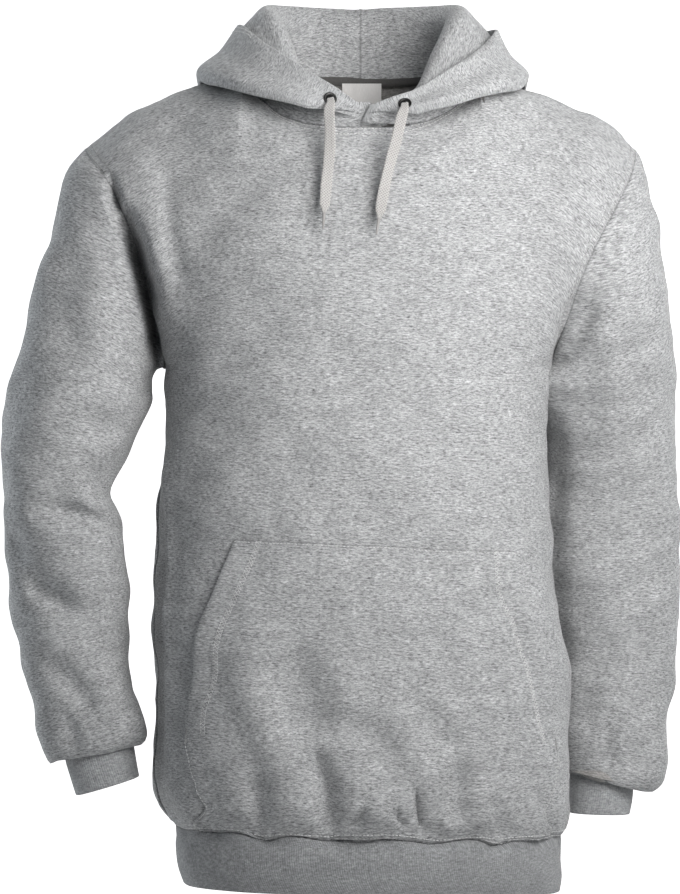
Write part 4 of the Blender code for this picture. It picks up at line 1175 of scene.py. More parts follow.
def stitch_mesh(lines, length, gap, radius, zigzag=0.0):
    """Small rounded stitches, end to end along lines of points, as vertices and faces."""
    angles = np.arange(6) * math.pi / 3
    stations = np.array([-0.5, -0.3, 0.3, 0.5]) * length
    girths = np.array([0.35, 1.0, 1.0, 0.35]) * radius
    vertices = []
    faces = []
    for points, normals in lines:
        run = run_of(points)
        count = int(run[-1] // (length + gap))
        if count < 2:
            continue
        middles = (np.arange(count) + 0.5) * run[-1] / count
        centre = np.stack([np.interp(middles, run, points[:, k]) for k in range(3)], axis=-1)
        ahead = np.stack([np.interp(middles + 0.5, run, points[:, k]) for k in range(3)], axis=-1)
        behind = np.stack([np.interp(middles - 0.5, run, points[:, k]) for k in range(3)], axis=-1)
        along_line = unit(ahead - behind)
        lean = unit(np.stack([np.interp(middles, run, normals[:, k]) for k in range(3)], axis=-1))
        side = unit(np.cross(lean, along_line))
        lean = np.cross(along_line, side)
        swing = zigzag * np.where(np.arange(count) % 2, 1.0, -1.0)[:, None]
        along_line = unit(along_line + side * swing)
        side = np.cross(lean, along_line)
        centre = centre + lean * radius * 0.35
        for i in range(count):
            first = len(vertices)
            for station, girth in zip(stations, girths):
                for angle in angles:
                    round_it = side[i] * math.cos(angle) + lean[i] * math.sin(angle)
                    vertices.append(centre[i] + along_line[i] * station + round_it * girth)
            for ring in range(3):
                for k in range(6):
                    a = first + ring * 6 + k
                    b = first + ring * 6 + (k + 1) % 6
                    faces.append((a, b, b + 6, a + 6))
            faces.append(tuple(first + k for k in range(5, -1, -1)))
            faces.append(tuple(first + 18 + k for k in range(6)))
    return vertices, faces


def sew(name, lines, material, length=2.5, gap=0.8, radius=0.42, zigzag=0.0):
    """Rows of stitches as one piece that lies on the cloth."""
    vertices, faces = stitch_mesh(lines, length, gap, radius, zigzag)
    mesh = bpy.data.meshes.new(name)
    mesh.from_pydata((np.array(vertices) * MM).tolist(), [], faces)
    mesh.materials.append(material)
    mesh.shade_smooth()
    piece = bpy.data.objects.new(name, mesh)
    bpy.context.scene.collection.objects.link(piece)
    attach(piece, "root")


# ---------------------------------------------------------------- finishes


class Finish:
    """A material being made, with short names for the nodes that it takes."""

    def __init__(self, name, roughness, sheen=0.0, specular=0.25, metallic=0.0):
        self.material = bpy.data.materials.new(name)
        self.material.use_nodes = True
        self.tree = self.material.node_tree
        self.shader = self.tree.nodes["Principled BSDF"]
        self.shader.inputs["Roughness"].default_value = roughness
        self.shader.inputs["Specular IOR Level"].default_value = specular
        self.shader.inputs["Metallic"].default_value = metallic
        self.shader.inputs["Sheen Weight"].default_value = sheen
        self.shader.inputs["Sheen Roughness"].default_value = 0.45

    def join(self, value, socket):
        """Sets a socket to a number or a colour, or links another socket to it."""
        if isinstance(value, bpy.types.NodeSocket):
            self.tree.links.new(value, socket)
        else:
            socket.default_value = value

    def place(self, source, scale, turn=0.0):
        """Coordinates in metres, times a scale for each axis: from the cloth's map or the object."""
        if source == "cloth":
            start = self.tree.nodes.new("ShaderNodeUVMap")
            start.uv_map = "cloth"
            out = start.outputs["UV"]
        else:
            out = self.tree.nodes.new("ShaderNodeTexCoord").outputs["Object"]
        mapping = self.tree.nodes.new("ShaderNodeMapping")
        mapping.inputs["Scale"].default_value = scale
        mapping.inputs["Rotation"].default_value = (0.0, 0.0, turn)
        self.join(out, mapping.inputs["Vector"])
        return mapping.outputs["Vector"]

    def noise(self, vector, detail=2.0, roughness=0.5):
        node = self.tree.nodes.new("ShaderNodeTexNoise")
        node.inputs["Scale"].default_value = 1.0
        node.inputs["Detail"].default_value = detail
        node.inputs["Roughness"].default_value = roughness
        self.join(vector, node.inputs["Vector"])
        return node.outputs["Fac"]

    def math(self, operation, a, b=0.0):
        node = self.tree.nodes.new("ShaderNodeMath")
        node.operation = operation
        self.join(a, node.inputs[0])
        self.join(b, node.inputs[1])
        return node.outputs["Value"]

    def range(self, value, low, high, to_low=0.0, to_high=1.0):
        """A value between low and high, brought to another range and held inside it."""
        node = self.tree.nodes.new("ShaderNodeMapRange")
        node.inputs["From Min"].default_value = low
        node.inputs["From Max"].default_value = high
        node.inputs["To Min"].default_value = to_low
        node.inputs["To Max"].default_value = to_high
        self.join(value, node.inputs["Value"])
        return node.outputs["Result"]

    def mix(self, share, a, b, how="MIX"):
        node = self.tree.nodes.new("ShaderNodeMix")
        node.data_type = "RGBA"
        node.blend_type = how
        self.join(share, node.inputs["Factor"])
        self.join(a, node.inputs[6])
        self.join(b, node.inputs[7])
        return node.outputs[2]

    def split(self, vector):
        node = self.tree.nodes.new("ShaderNodeSeparateXYZ")
        self.join(vector, node.inputs[0])
        return node.outputs

    def attribute(self, name):
        node = self.tree.nodes.new("ShaderNodeAttribute")
        node.attribute_name = name
        return node.outputs["Fac"]

    def bump(self, height, distance, strength=1.0, under=None):
        node = self.tree.nodes.new("ShaderNodeBump")
        node.inputs["Distance"].default_value = distance
        node.inputs["Strength"].default_value = strength
        self.join(height, node.inputs["Height"])
        if under is not None:
            self.join(under, node.inputs["Normal"])
        return node.outputs["Normal"]

    def done(self, colour, normal=None):
        self.join(colour, self.shader.inputs["Base Color"])
        if normal is not None:
            self.join(normal, self.shader.inputs["Normal"])
        return self.material


def grey(value, warmth=0.0):
    """A grey of a given light, a little warmer or cooler."""
    return (value * (1 + warmth), value, value * (1 - warmth), 1.0)


def heather(name, base, spread, warmth):
    """Brushed melange fleece: light and dark fibres drawn out along the grain, and painted shade along its
    seams.
    """
    cloth = Finish(name, 0.95, sheen=0.18, specular=0.10)
    streaks = cloth.noise(cloth.place("cloth", (190.0, 700.0, 1.0), 0.04), 3.0, 0.65)
    fine = cloth.noise(cloth.place("cloth", (480.0, 1400.0, 1.0), 0.08), 2.0, 0.6)
    dark_flecks = cloth.noise(cloth.place("cloth", (230.0, 800.0, 1.0), 0.09), 2.0)
    pale_flecks = cloth.noise(cloth.place("cloth", (200.0, 740.0, 1.0), -0.07), 2.0)
    cloud = cloth.noise(cloth.place("cloth", (46.0, 100.0, 1.0)), 3.0, 0.6)
    light = cloth.range(streaks, 0.30, 0.70, 1 - 0.44 * spread, 1 + 0.44 * spread)
    light = cloth.math("MULTIPLY", light, cloth.range(fine, 0.3, 0.7, 0.72, 1.28))
    light = cloth.math("MULTIPLY", light, cloth.range(cloud, 0.3, 0.7, 0.86, 1.14))
    light = cloth.math("SUBTRACT", light, cloth.range(dark_flecks, 0.55, 0.78, 0.0, 0.45 * spread))
    light = cloth.math("ADD", light, cloth.range(pale_flecks, 0.56, 0.78, 0.0, 0.40 * spread))
    light = cloth.math("MAXIMUM", light, 0.22)
    # Painted shade: the fleece darkens towards its seams, standing in for the shade in their dips.
    light = cloth.math("MULTIPLY", light, cloth.range(cloth.attribute("seam"), 0.0, 0.0016, 0.62, 1.0))
    colour = cloth.mix(1.0, grey(base, warmth), light, "MULTIPLY")
    knit = cloth.split(cloth.place("cloth", (math.pi / 0.0013, math.pi / 0.0011, 1.0)))
    wales = cloth.math("ABSOLUTE", cloth.math("SINE", knit["X"]))
    height = cloth.math("ADD", cloth.math("MULTIPLY", wales, 0.25), cloth.math("ADD", streaks, fine))
    return cloth.done(colour, cloth.bump(height, 0.0007, 0.5))


def rib_knit(name, base):
    """Rib in the same yarn: narrow raised columns with shallow valleys between them."""
    cloth = Finish(name, 0.95, sheen=0.18, specular=0.10)
    across = cloth.split(cloth.place("cloth", (math.pi / 0.0021, 1.0, 1.0)))["X"]
    wander = cloth.noise(cloth.place("cloth", (60.0, 25.0, 1.0)), 1.0)
    across = cloth.math("ADD", across, cloth.math("MULTIPLY", wander, 1.4))
    column = cloth.math("POWER", cloth.math("ABSOLUTE", cloth.math("SINE", across)), 0.6)
    streaks = cloth.noise(cloth.place("cloth", (240.0, 520.0, 1.0)), 3.0, 0.65)
    fine = cloth.noise(cloth.place("cloth", (700.0, 900.0, 1.0)), 2.0, 0.6)
    cloud = cloth.noise(cloth.place("cloth", (50.0, 90.0, 1.0)), 3.0, 0.6)
    light = cloth.range(streaks, 0.3, 0.7, 0.66, 1.34)
    light = cloth.math("MULTIPLY", light, cloth.range(fine, 0.3, 0.7, 0.80, 1.20))
    light = cloth.math("MULTIPLY", light, cloth.range(cloud, 0.3, 0.7, 0.90, 1.10))
    # Painted shade: the valleys between the rib's columns are darker.
    light = cloth.math("MULTIPLY", light, cloth.range(column, 0.0, 1.0, 0.88, 1.03))
    # Painted shade: the rib darkens towards its seam, standing in for the shade in the seam's dip.
    light = cloth.math("MULTIPLY", light, cloth.range(cloth.attribute("seam"), 0.0, 0.0016, 0.6, 1.0))
    colour = cloth.mix(1.0, grey(base, -0.02), light, "MULTIPLY")
    return cloth.done(colour, cloth.bump(column, 0.0006, 0.6, cloth.bump(fine, 0.0005, 0.5)))


def herringbone(base):
    """Narrow twill tape with a herringbone weave."""
    cloth = Finish("herringbone_tape", 0.8, sheen=0.1, specular=0.2)
    place = cloth.split(cloth.place("cloth", (1.0, 1.0, 1.0)))
    ways = cloth.math("PINGPONG", place["Y"], 0.0025)
    slant = cloth.math("ADD", place["X"], ways)
    twill = cloth.math("ABSOLUTE", cloth.math("SINE", cloth.math("MULTIPLY", slant, math.pi / 0.0012)))
    yarn = cloth.noise(cloth.place("cloth", (700.0, 500.0, 1.0)), 2.0)
    # Painted shade: the tape is darker in the dips of its twill.
    light = cloth.range(twill, 0.0, 1.0, 0.72, 1.08)
    light = cloth.math("MULTIPLY", light, cloth.range(yarn, 0.3, 0.7, 0.9, 1.1))
    colour = cloth.mix(1.0, grey(base, 0.03), light, "MULTIPLY")
    return cloth.done(colour, cloth.bump(twill, 0.0004, 0.8))


def satin_weave(base):
    """The bare label's close satin weave."""
    cloth = Finish("satin_label", 0.55, sheen=0.05, specular=0.35)
    threads = cloth.noise(cloth.place("cloth", (3200.0, 260.0, 1.0)), 2.0)
    cloud = cloth.noise(cloth.place("cloth", (60.0, 60.0, 1.0)), 1.0)
    light = cloth.range(threads, 0.3, 0.7, 0.92, 1.06)
    light = cloth.math("MULTIPLY", light, cloth.range(cloud, 0.3, 0.7, 0.97, 1.03))
    colour = cloth.mix(1.0, grey(base, 0.02), light, "MULTIPLY")
    return cloth.done(colour, cloth.bump(threads, 0.0002, 0.6))


def braid(name, base, roughness=0.85):
    """Flat braided cotton: two sets of threads crossing on the slant."""
    cloth = Finish(name, roughness, sheen=0.12, specular=0.2)
    place = cloth.split(cloth.place("cloth", (1.0, 1.0, 1.0)))
    ways = []
    for sign in (1.0, -1.0):
        slant = cloth.math("ADD", place["Y"], cloth.math("MULTIPLY", place["X"], sign * 0.9))
        wave = cloth.math("SINE", cloth.math("MULTIPLY", slant, 2 * math.pi / 0.0026))
        ways.append(cloth.range(wave, -1.0, 1.0, 0.0, 1.0))
    weave = cloth.math("MAXIMUM", ways[0], ways[1])
    yarn = cloth.noise(cloth.place("cloth", (900.0, 700.0, 1.0)), 2.0)
    # Painted shade: the cord is darker where its threads dip between the crossings.
    light = cloth.range(weave, 0.4, 1.0, 0.66, 1.08)
    light = cloth.math("MULTIPLY", light, cloth.range(yarn, 0.3, 0.7, 0.92, 1.08))
    colour = cloth.mix(1.0, grey(base, 0.025), light, "MULTIPLY")
    return cloth.done(colour, cloth.bump(weave, 0.0004, 0.8))


def thread_finish(name, base):
    """Sewing thread, a little lighter or darker from stitch to stitch."""
    cloth = Finish(name, 0.8, sheen=0.1, specular=0.25)
    patches = cloth.noise(cloth.place("object", (330.0, 330.0, 330.0)), 1.0)
    light = cloth.range(patches, 0.35, 0.65, 0.80, 1.20)
    colour = cloth.mix(1.0, grey(base), light, "MULTIPLY")
    return cloth.done(colour)


def gunmetal():
    """Dark plated metal with fine wear."""
    metal = Finish("gunmetal_plate", 0.34, specular=0.5, metallic=0.9)
    wear = metal.noise(metal.place("object", (900.0, 900.0, 900.0)), 3.0)
    light = metal.range(wear, 0.35, 0.7, 0.75, 1.5)
    colour = metal.mix(1.0, grey(0.055, 0.02), light, "MULTIPLY")
    metal.join(metal.range(wear, 0.3, 0.7, 0.28, 0.44), metal.shader.inputs["Roughness"])
    return metal.done(colour, metal.bump(wear, 0.00005, 0.4))


def dark_hole():
    """The shade inside an eyelet."""
    shade = Finish("eyelet_shade", 0.9, specular=0.1)
    grain = shade.noise(shade.place("object", (1200.0, 1200.0, 1200.0)), 1.0)
    light = shade.range(grain, 0.3, 0.7, 0.7, 1.3)
    return shade.done(shade.mix(1.0, grey(0.02), light, "MULTIPLY"))


# ---------------------------------------------------------------- trim


def patch(name, node, outside, inside, material):
    """A small closed sheet from the points of its two sides."""
    uv = np.stack(grid_runs(outside), axis=-1) * MM
    faces, uvs = wall_faces(*outside.shape[:2], uv)
    vertices = np.concatenate([outside.reshape(-1, 3), inside.reshape(-1, 3)])
    piece = mesh_from(name, vertices, np.concatenate(faces).tolist(), [material], uvs)
    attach(piece, "root")
    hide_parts(node)


def lay_tape(back, hood_left, hood_right, material):
    """The tape over the back neck seam, on the inside, from the back panel up onto the hood."""
    columns = []
    half = NECK_COLUMNS // 2
    for j in range(TAPE_FIRST, NECK_COLUMNS + 1 - TAPE_FIRST):
        if j <= half:
            hood, station = hood_left, half + j
        else:
            hood, station = hood_right, hood_right.points.shape[1] - 1 - (j - half)
        panel_side = back.inside[:, SHOULDER_COLUMNS + j]
        hood_side = hood.inside[:, station]
        lean = back.normals[-1, SHOULDER_COLUMNS + j]
        down = unit(panel_side[-4] - panel_side[-1])
        up = unit(hood_side[4] - hood_side[0])
        column = [panel_side[-1] + down * TAPE_BELOW * share for share in (1.0, 0.75, 0.5, 0.25)]
        column += [hood_side[0] + up * TAPE_ABOVE * share for share in (0.15, 0.4, 0.6, 0.8, 1.0)]
        columns.append([point - lean * TAPE_OFF for point in column])
    place = np.array(columns).swapaxes(0, 1)
    lean = back.normals[-1, SHOULDER_COLUMNS + TAPE_FIRST : SHOULDER_COLUMNS + NECK_COLUMNS + 1 - TAPE_FIRST]
    inside = place - lean[None] * TAPE
    patch("tape_back_neck", "neck_tape", place, inside, material)
    return inside


def hang_label(tape_inside, material):
    """The bare label, hanging inside the back neck from the tape."""
    seam = tape_inside[4][np.argsort(tape_inside[4][:, 0])]
    across = np.linspace(LABEL_RIGHT, LABEL_LEFT, LABEL_POINTS)
    shares = np.linspace(0, 1, LABEL_POINTS)[:, None]
    depth = np.interp(across, seam[:, 0], seam[:, 1]) - SEAM_GAP - LABEL
    top = np.interp(0.0, seam[:, 0], seam[:, 2]) - LABEL_BELOW
    bow = LABEL_BOW * shares**2 + 0.5 * np.sin(shares * 5.0 + across[None] * 0.06)
    inside = np.stack(
        np.broadcast_arrays(across, depth - bow, top - LABEL_DROP * shares), axis=-1
    )
    outside = inside + (0, LABEL * 0.7, 0)
    patch("label_back_neck", "neck_label", outside, inside, material)


def flap_point(sheet, place):
    """The point of a hood half's flap that is seen at a place from the front, and its normal."""
    first = -1 - (HOOD_SPANS[-1] + HOOD_SPANS[-2]) * FINE
    columns = sheet.points.shape[1] // 2
    points = sheet.points[first:, :columns].reshape(-1, 3)
    normals = sheet.normals[first:, :columns].reshape(-1, 3)
    distance = np.hypot(points[:, 0] - place[0], points[:, 2] - place[1])
    near = np.argsort(distance)[:4]
    weight = 1 / (distance[near] + 0.3)
    weight = (weight / weight.sum())[:, None]
    return (points[near] * weight).sum(axis=0), unit((normals[near] * weight).sum(axis=0))


def add_eyelet(side, sheet, place, metal, shade):
    """A pressed metal ring with a rolled lip, and the dark hole that the cord comes out of."""
    point, normal = flap_point(sheet, place)
    turn = Vector(normal).to_track_quat("Z", "Y").to_euler()
    bpy.ops.object.select_all(action="DESELECT")
    bpy.ops.mesh.primitive_torus_add(
        major_segments=56,
        minor_segments=18,
        major_radius=EYELET_MIDDLE_RADIUS * MM,
        minor_radius=EYELET_WIRE_RADIUS * MM,
        location=(0, 0, 0),
    )
    ring = bpy.context.active_object
    bpy.ops.object.mode_set(mode="EDIT")
    bpy.ops.mesh.select_all(action="SELECT")
    bpy.ops.transform.resize(value=(1.0, 1.0, EYELET_FLATNESS))
    bpy.ops.object.mode_set(mode="OBJECT")
    settle(ring, f"eyelet_ring_{side}", point + normal * EYELET_LIFT, turn)
    ring.data.materials.append(metal)
    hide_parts(f"eyelet_{side}")
    bpy.ops.object.select_all(action="DESELECT")
    bpy.ops.mesh.primitive_cylinder_add(
        vertices=40,
        radius=(EYELET_MIDDLE_RADIUS - HOLE_INSET) * MM,
        depth=HOLE_DEPTH * MM,
        location=(0, 0, 0),
    )
    hole = bpy.context.active_object
    settle(hole, f"eyelet_hole_{side}", point + normal * HOLE_LIFT, turn)
    hole.data.materials.append(shade)
    return point, normal


def settle(obj, name, point, turn):
    """Names a new piece and fixes its place and turn in its mesh."""
    obj.name = name
    obj.data.name = name
    obj.rotation_euler = turn
    obj.location = Vector(point) * MM
    bpy.ops.object.transform_apply(location=True, rotation=True, scale=True)
    obj.data.shade_smooth()
    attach(obj, "root")


def ribbon(route, start, start_width):
    """The middle line of a cord, from its eyelet down its route, with its widths."""
    points = np.concatenate([start, columns_of(route)[1:]])
    count = int(run_of(points)[-1] // CORD_STEP)
    middle = along(points, np.linspace(0, 1, count + 1))
    run = run_of(middle)
    widths = start_width + (CORD_WIDTH - start_width) * smooth_step(run / CORD_WIDENS)
    widths = widths * (1 - CORD_NARROWING * smooth_step((run - run[-1] + CORD_NARROWS) / CORD_NARROWS))
    widths = widths * (1 + 0.03 * np.sin(run / 6.0))
    return middle, widths


def lay_cord(side, route, start, sway, material):
    """A flat braided cord that comes out of its eyelet and hangs down the chest."""
    middle, widths = ribbon(route, start, CORD_AT_EYELET)
    run = run_of(middle)
    ahead = unit(np.gradient(middle, axis=0))
    turn = np.radians(sway[0] * np.sin(run / run[-1] * math.pi * sway[1] + sway[2]))
    across = unit(np.cross(np.array([0.0, 1.0, 0.0]), ahead) * -1.0)
    lean = unit(np.cross(across, ahead))
    lean = lean * np.where(lean[:, 1:2] > 0, -1.0, 1.0)
    wide = across * np.cos(turn)[:, None] + lean * np.sin(turn)[:, None]
    out = np.cross(ahead, wide)
    out = out * np.where(out[:, 1:2] > 0, -1.0, 1.0)
    angles = np.arange(24) * math.pi / 12
    flat = power(np.cos(angles), 0.75)
    thick = power(np.sin(angles), 0.6)
    groove = 1 - 0.30 * np.exp(-((flat / 0.28) ** 2))
    rings_of_cord = []
    for centre, width, w, o in zip(middle, widths, wide, out):
        half = CORD_THICKNESS / 2 * (1.25 - 0.25 * width / CORD_WIDTH)
        ring = centre + w * (flat * width / 2)[:, None] + o * (thick * groove * half)[:, None]
        rings_of_cord.append(ring)
    grid = np.array(rings_of_cord)
    rows, count = grid.shape[:2]
    ids = np.arange(rows * count).reshape(rows, count)
    ids = np.concatenate([ids, ids[:, :1]], axis=1)
    girth = np.concatenate([flat * CORD_WIDTH / 2, flat[:1] * CORD_WIDTH / 2]) * MM
    uv = np.stack(np.broadcast_arrays(girth[None, :], (run * MM)[:, None]), axis=-1)
    faces = corners_of(ids).tolist()
    uvs = [corners_of(uv).reshape(-1, 2)]
    for row in (0, -1):
        faces.append(ids[row, :-1].tolist())
        uvs.append(uv[row, :-1])
    piece = mesh_from(f"cord_{side}", grid.reshape(-1, 3), faces, [material], uvs)
    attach(piece, "root")
    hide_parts(f"drawcord_{side}")
    return piece, middle


def add_tip(side, middle, material):
    """The bound end of a cord: wound thread that narrows to a blunt point."""
    end = Vector(middle[-1])
    direction = (end - Vector(middle[-4])).normalized()
    bpy.ops.object.select_all(action="DESELECT")
    bpy.ops.mesh.primitive_cone_add(
        vertices=20,
        radius1=TIP_RADIUS * TIP_TAPER[0] * MM,
        radius2=TIP_RADIUS * TIP_TAPER[1] * MM,
        depth=TIP_LENGTH * MM,
        location=(0, 0, 0),
    )
    tip = bpy.context.active_object
    bevel = tip.modifiers.new("round_ends", "BEVEL")
    bevel.width = TIP_ROUNDING * MM
    bevel.segments = 3
    bpy.ops.object.modifier_apply(modifier=bevel.name)
    turn = direction.to_track_quat("Z", "Y").to_euler()
    settle(tip, f"tip_{side}", end + direction * (TIP_LENGTH / 2 - TIP_SUNK), turn)
    tip.data.materials.append(material)
    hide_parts(f"cord_tip_{side}")
    return tip


# ---------------------------------------------------------------- the pocket


def pocket_sheet(front):
    """The pocket on the front panel's own points: sewn at the top, the lower sides and the rib, and
    standing off a little at its two openings."""
    last = int(np.argmax(BODY_ROWS >= POCKET_TOP))
    heights = BODY_ROWS[: last + 1]
    across = np.linspace(0, 1, POCKET_COLUMNS + 1)
    middle = front.points.shape[1] // 2
    points = []
    maps = []
    for height, row, normal in zip(heights, front.points, front.normals):
        run = run_of(row)
        run = run - run[middle]
        right, left = (float(spline(POCKET["height"], POCKET[name], height)) for name in ("right", "left"))
        places = -right + (right + left) * across
        place = np.stack([np.interp(places, run, row[:, k]) for k in range(3)], axis=-1)
        lean = unit(np.stack([np.interp(places, run, normal[:, k]) for k in range(3)], axis=-1))
        up = (height - POCKET_SEWN) / (POCKET_TOP - POCKET_SEWN)
        opening = np.sin(math.pi * np.clip(up, 0, 1)) ** 0.7
        from_edge = np.minimum(places + right, left - places)
        gape = POCKET_GAPE * opening * np.exp(-((from_edge / POCKET_GAPE_WIDTH) ** 2))
        fullness = float(spline(POCKET["height"], POCKET["lift"], height))
        fullness = fullness * smooth_step(from_edge / POCKET_LIFT_REACH)
        lift = gape + fullness + SEAM_GAP + POCKET_CLOTH
        points.append(place + lean * lift[:, None])
        maps.append(np.stack([places + POCKET_CUT, np.full(places.shape, height)], axis=-1))
    pocket = Sheet("pocket", np.array(points), 1, False, POCKET_CLOTH, ("bottom", "top"), ("left", "right"))
    pocket.map = np.array(maps) * MM
    set_normals([pocket])
    return pocket


# ---------------------------------------------------------------- the garment


def free_hood(side):
    """A hood half with more rows close to its face edge, where it is rounded."""
    points = with_edge_rows(hood_half(side), "top")
    name = "left" if side > 0 else "right"
    return Sheet(f"hood_{name}", points, side, seams=("bottom", "right"), free=("top", "left"))


def evened(points):
    """A front whose cloth falls in one soft slope beside the neck, without a step."""
    rows = np.arange(len(points))
    from_top = smooth_step((rows[-1] - rows) / EVEN_TOP_ROWS)
    from_underarm = smooth_step((rows - len(BODY_ROWS)) / EVEN_LOW_ROWS)
    shares = from_top * from_underarm
    points = points.copy()
    for side in (-1, 1):
        for share, line in zip(shares, points):
            reach = side * line[:, 0]
            inside = np.flatnonzero((reach > EVEN_FROM) & (reach < EVEN_TO))
            ends = np.array([inside[0], inside[-1]])
            beyond = ends + (-1, 1)
            slopes = (line[beyond, 1] - line[ends, 1]) / (reach[beyond] - reach[ends])
            width = reach[ends[1]] - reach[ends[0]]
            t = (reach[inside] - reach[ends[0]]) / width
            soft = hermite(line[ends[0], 1], slopes[0] * width, line[ends[1], 1], slopes[1] * width, t)
            line[inside, 1] += (soft - line[inside, 1]) * share
    return points


def make_sheets():
    front = Sheet("front", evened(panel(-1)), seams=("bottom", "top", "left", "right"))
    back = Sheet("back", panel(1), seams=("bottom", "top", "left", "right"))
    sheets = [front, back]
    for side, name, rows, cuff_rows in (
        (-1, "right", SLEEVE_RIGHT, CUFF_RIGHT),
        (1, "left", SLEEVE_LEFT, CUFF_LEFT),
    ):
        stations = np.concatenate([armhole_ring(side)[None], rings(rows)])
        sheets.append(Sheet(f"sleeve_{name}", tube(stations), side, True, seams=("bottom", "top")))
        cuff_stations = np.concatenate([stations[-1:], rings(cuff_rows)])
        cuff = with_edge_rows(tube(cuff_stations), "top")
        sheets.append(Sheet(f"cuff_{name}", cuff, side, True, RIB, ("bottom",), ("top",)))
    angles = np.concatenate([panel_angles(-90)[:-1], panel_angles(90)[:-1]])
    band = with_edge_rows(body(angles[None], refined(BAND_ROWS)[:, None]), "bottom")
    sheets.append(Sheet("waistband", band, 1, True, RIB, ("top",), ("bottom",)))
    sheets += [free_hood(1), free_hood(-1)]
    for sheet in sheets:
        sheet.map = cloth_map(sheet)
    smooth = [sheet.points for sheet in sheets]
    set_normals(sheets)
    crease(sheets)
    for sheet, points in zip(sheets, smooth):
        follow(sheet, points)
    set_normals(sheets)
    return {sheet.name: sheet for sheet in sheets}


def stitch_all(sheets, pocket, thread, pale):
    """All the rows of stitching that show on the garment's right side."""
    front, back = sheets["front"], sheets["back"]
    neckline = slice(SHOULDER_COLUMNS, SHOULDER_COLUMNS + NECK_COLUMNS + 1)
    above = len(BODY_ROWS) - 1
    for name, panel_sheet in (("front", front), ("back", back)):
        lines = [inset_line(panel_sheet, "top", distance, neckline) for distance in SEAM_STITCHES]
        sew(f"stitching_neck_{name}", lines, pale)
        lines = [
            inset_line(panel_sheet, edge, distance, slice(above, None))
            for edge in ("left", "right")
            for distance in SEAM_STITCHES
        ]
        sew(f"stitching_armholes_{name}", lines, thread)
        lines = [inset_line(panel_sheet, "bottom", distance) for distance in RIB_STITCHES]
        sew(f"stitching_rib_{name}", lines, pale)
    for name in ("right", "left"):
        lines = [inset_line(sheets[f"sleeve_{name}"], "top", distance) for distance in CUFF_STITCHES]
        sew(f"stitching_cuff_{name}", lines, thread)
        hood = sheets[f"hood_{name}"]
        rear = slice(hood.points.shape[1] // 2, None)
        lines = [inset_line(hood, "top", distance, rear) for distance in HOOD_STITCHES]
        sew(f"stitching_hood_edge_{name}", lines, pale)
    first = int(np.argmax(BODY_ROWS >= POCKET_SEWN))
    sides = [(edge, slice(first, None)) for edge in ("left", "right")]
    lines = [inset_line(pocket, "top", POCKET_STITCH)]
    lines += [inset_line(pocket, edge, POCKET_STITCH, slice(0, first)) for edge, _ in sides]
    sew("stitching_pocket", lines, pale, radius=0.3)
    lines = [inset_line(pocket, "bottom", distance) for distance in POCKET_RIB_STITCHES]
    sew("stitching_pocket_rib", lines, pale)
    lines = [
        inset_line(pocket, edge, distance, part)
        for edge, part in sides
        for distance in OPENING_STITCHES
    ]
    sew("stitching_openings", lines, pale, length=1.7, radius=0.3)
    lines = [inset_line(pocket, edge, COVER_STITCH, part) for edge, part in sides]
    sew("coverstitch_openings", lines, pale, length=4.2, gap=-2.6, radius=0.24, zigzag=1.9)
    tacks = [inset_line(pocket, edge, TACK_PLACE, slice(first - 2, first + 2)) for edge, _ in sides]
    sew("bartacks", tacks, thread, length=3.0, gap=-2.2, radius=0.4, zigzag=4.0)


def soft_light(name, place, aim, width, power, colour):
    light = bpy.data.lights.new(name, "AREA")
    light.shape = "RECTANGLE"
    light.size = width
    light.size_y = width * LIGHT_HEIGHT
    light.energy = power
    light.color = colour
    lamp = bpy.data.objects.new(name, light)
    lamp.visible_camera = False
    lamp.location = place
    lamp.rotation_euler = (Vector(aim) - Vector(place)).to_track_quat("-Z", "Y").to_euler()
    bpy.context.scene.collection.objects.link(lamp)


def set_stage():
    """Camera, lights, and a plain pale floor and backdrop."""
    lens = bpy.data.cameras.new("studio_camera")
    lens.sensor_fit = "HORIZONTAL"
    lens.sensor_width = SENSOR_WIDTH
    lens.lens = SENSOR_WIDTH * CAMERA_DISTANCE / FRAME_WIDTH
    lens.clip_end = 50.0
    camera = bpy.data.objects.new("studio_camera", lens)
    camera.location = (CAMERA_X, -CAMERA_DISTANCE, CAMERA_Z)
    camera.rotation_euler = (math.radians(90.0), 0.0, 0.0)
    bpy.context.scene.collection.objects.link(camera)
    bpy.context.scene.camera = camera
    world = bpy.data.worlds.new("studio")
    world.use_nodes = True
    world.node_tree.nodes["Background"].inputs["Color"].default_value = WORLD_COLOUR
    world.node_tree.nodes["Background"].inputs["Strength"].default_value = WORLD_LIGHT
    bpy.context.scene.world = world
    bpy.context.scene.view_settings.view_transform = "Standard"
    for name, place, aim, width, power, colour in LIGHTS:
        soft_light(name, place, aim, width, power, colour)
    bpy.ops.object.select_all(action="DESELECT")
    bpy.ops.mesh.primitive_plane_add(size=FLOOR_SIZE, location=(0, FLOOR_BACK, FLOOR_LEVEL))
    floor = bpy.context.active_object
    floor.name = "studio_floor"
    floor.data.materials.append(paper("floor_paper", 0.85, 0.0))
    bpy.ops.object.select_all(action="DESELECT")
    upright = (math.radians(90), 0, 0)
    place = (0, BACKDROP_BACK, 0)
    bpy.ops.mesh.primitive_plane_add(size=BACKDROP_SIZE, location=place, rotation=upright)
    backdrop = bpy.context.active_object
    backdrop.name = "studio_backdrop"
    backdrop.data.materials.append(paper("backdrop_paper", 0.9, BACKDROP_GLOW))


def paper(name, base, glow):
    """Plain white paper with a faint tooth."""
    sheet = Finish(name, 0.9, specular=0.1)
    tooth = sheet.noise(sheet.place("object", (40.0, 40.0, 40.0)), 1.0)
    light = sheet.range(tooth, 0.3, 0.7, 0.995, 1.0)
    sheet.shader.inputs["Emission Color"].default_value = (1.0, 1.0, 1.0, 1.0)
    sheet.shader.inputs["Emission Strength"].default_value = glow
    return sheet.done(sheet.mix(1.0, grey(base), light, "MULTIPLY"))


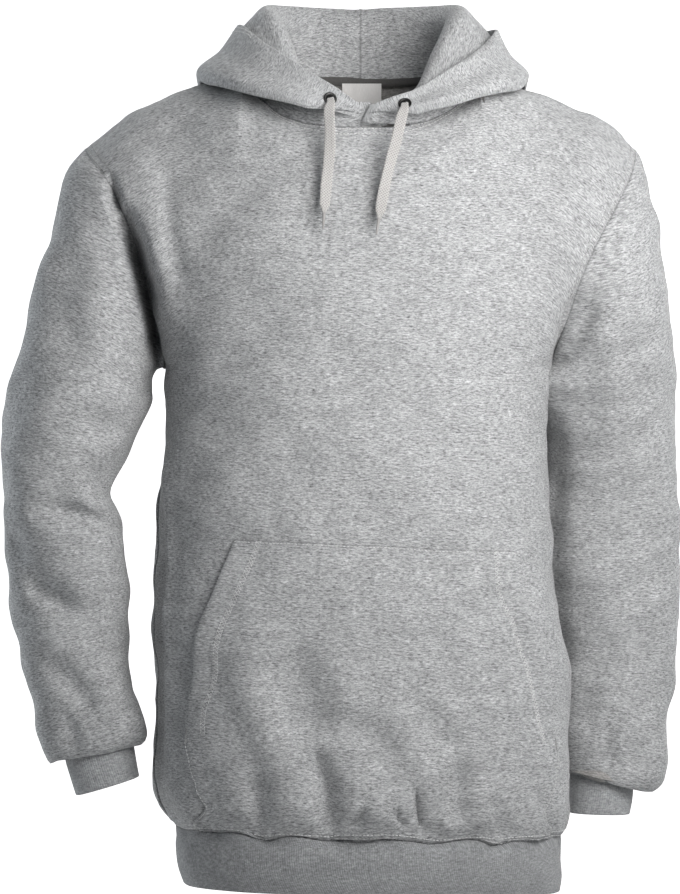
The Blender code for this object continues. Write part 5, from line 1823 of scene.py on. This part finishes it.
set_stage()
BODY_ROWS = body_rows()
SHEETS = make_sheets()

GUNMETAL = gunmetal()
SHADE = dark_hole()
BRAID = braid("braided_cord", CORD_GREY)
BOUND = braid("bound_tip", CORD_GREY * 0.95, 0.6)
for wearer_side, sheet_name, eyelet_place, cord_route, cord_sway in (
    ("right", "hood_right", EYELET_RIGHT, CORD_ROUTE_RIGHT, CORD_SWAY_RIGHT),
    ("left", "hood_left", EYELET_LEFT, CORD_ROUTE_LEFT, CORD_SWAY_LEFT),
):
    centre, outward = add_eyelet(wearer_side, SHEETS[sheet_name], eyelet_place, GUNMETAL, SHADE)
    begins = np.array([centre + outward * CORD_EMERGES, centre + outward * CORD_STANDS + CORD_FALL])
    cord, cord_line = lay_cord(wearer_side, cord_route, begins, cord_sway, BRAID)
    tip_piece = add_tip(wearer_side, cord_line, BOUND)

HEATHER = heather("heather_fleece", HEATHER_GREY, 1.15, -0.012)
# The inner side is the same fleece, painted darker and warmer: painted shade inside the garment.
SHADED_INSIDE_FLEECE = heather("brushed_inside_painted_shade", HEATHER_GREY * 0.72, 0.8, 0.03)
RIB_KNITS = {"waistband": rib_knit("rib_knit", RIB_SHADED_GREY)}
for cuff_name in ("cuff_right", "cuff_left"):
    RIB_KNITS[cuff_name] = rib_knit(f"rib_knit_{cuff_name}", CUFF_GREY)
THREAD = thread_finish("grey_thread", THREAD_GREY)
PALE_THREAD = thread_finish("pale_thread", PALE_THREAD_GREY)
for piece_name, sheet_of_cloth in SHEETS.items():
    if piece_name in RIB_KNITS:
        dress(sheet_of_cloth, [RIB_KNITS[piece_name]])
    elif sheet_of_cloth.fan:
        dress(sheet_of_cloth, [HEATHER])
    else:
        dress(sheet_of_cloth, [HEATHER, SHADED_INSIDE_FLEECE])
POCKET_SHEET = pocket_sheet(SHEETS["front"])
dress(POCKET_SHEET, [HEATHER])
TAPE_SIDE = lay_tape(SHEETS["back"], SHEETS["hood_left"], SHEETS["hood_right"], herringbone(TAPE_SHADED_GREY))
hang_label(TAPE_SIDE, satin_weave(LABEL_GREY))
stitch_all(SHEETS, POCKET_SHEET, THREAD, PALE_THREAD)
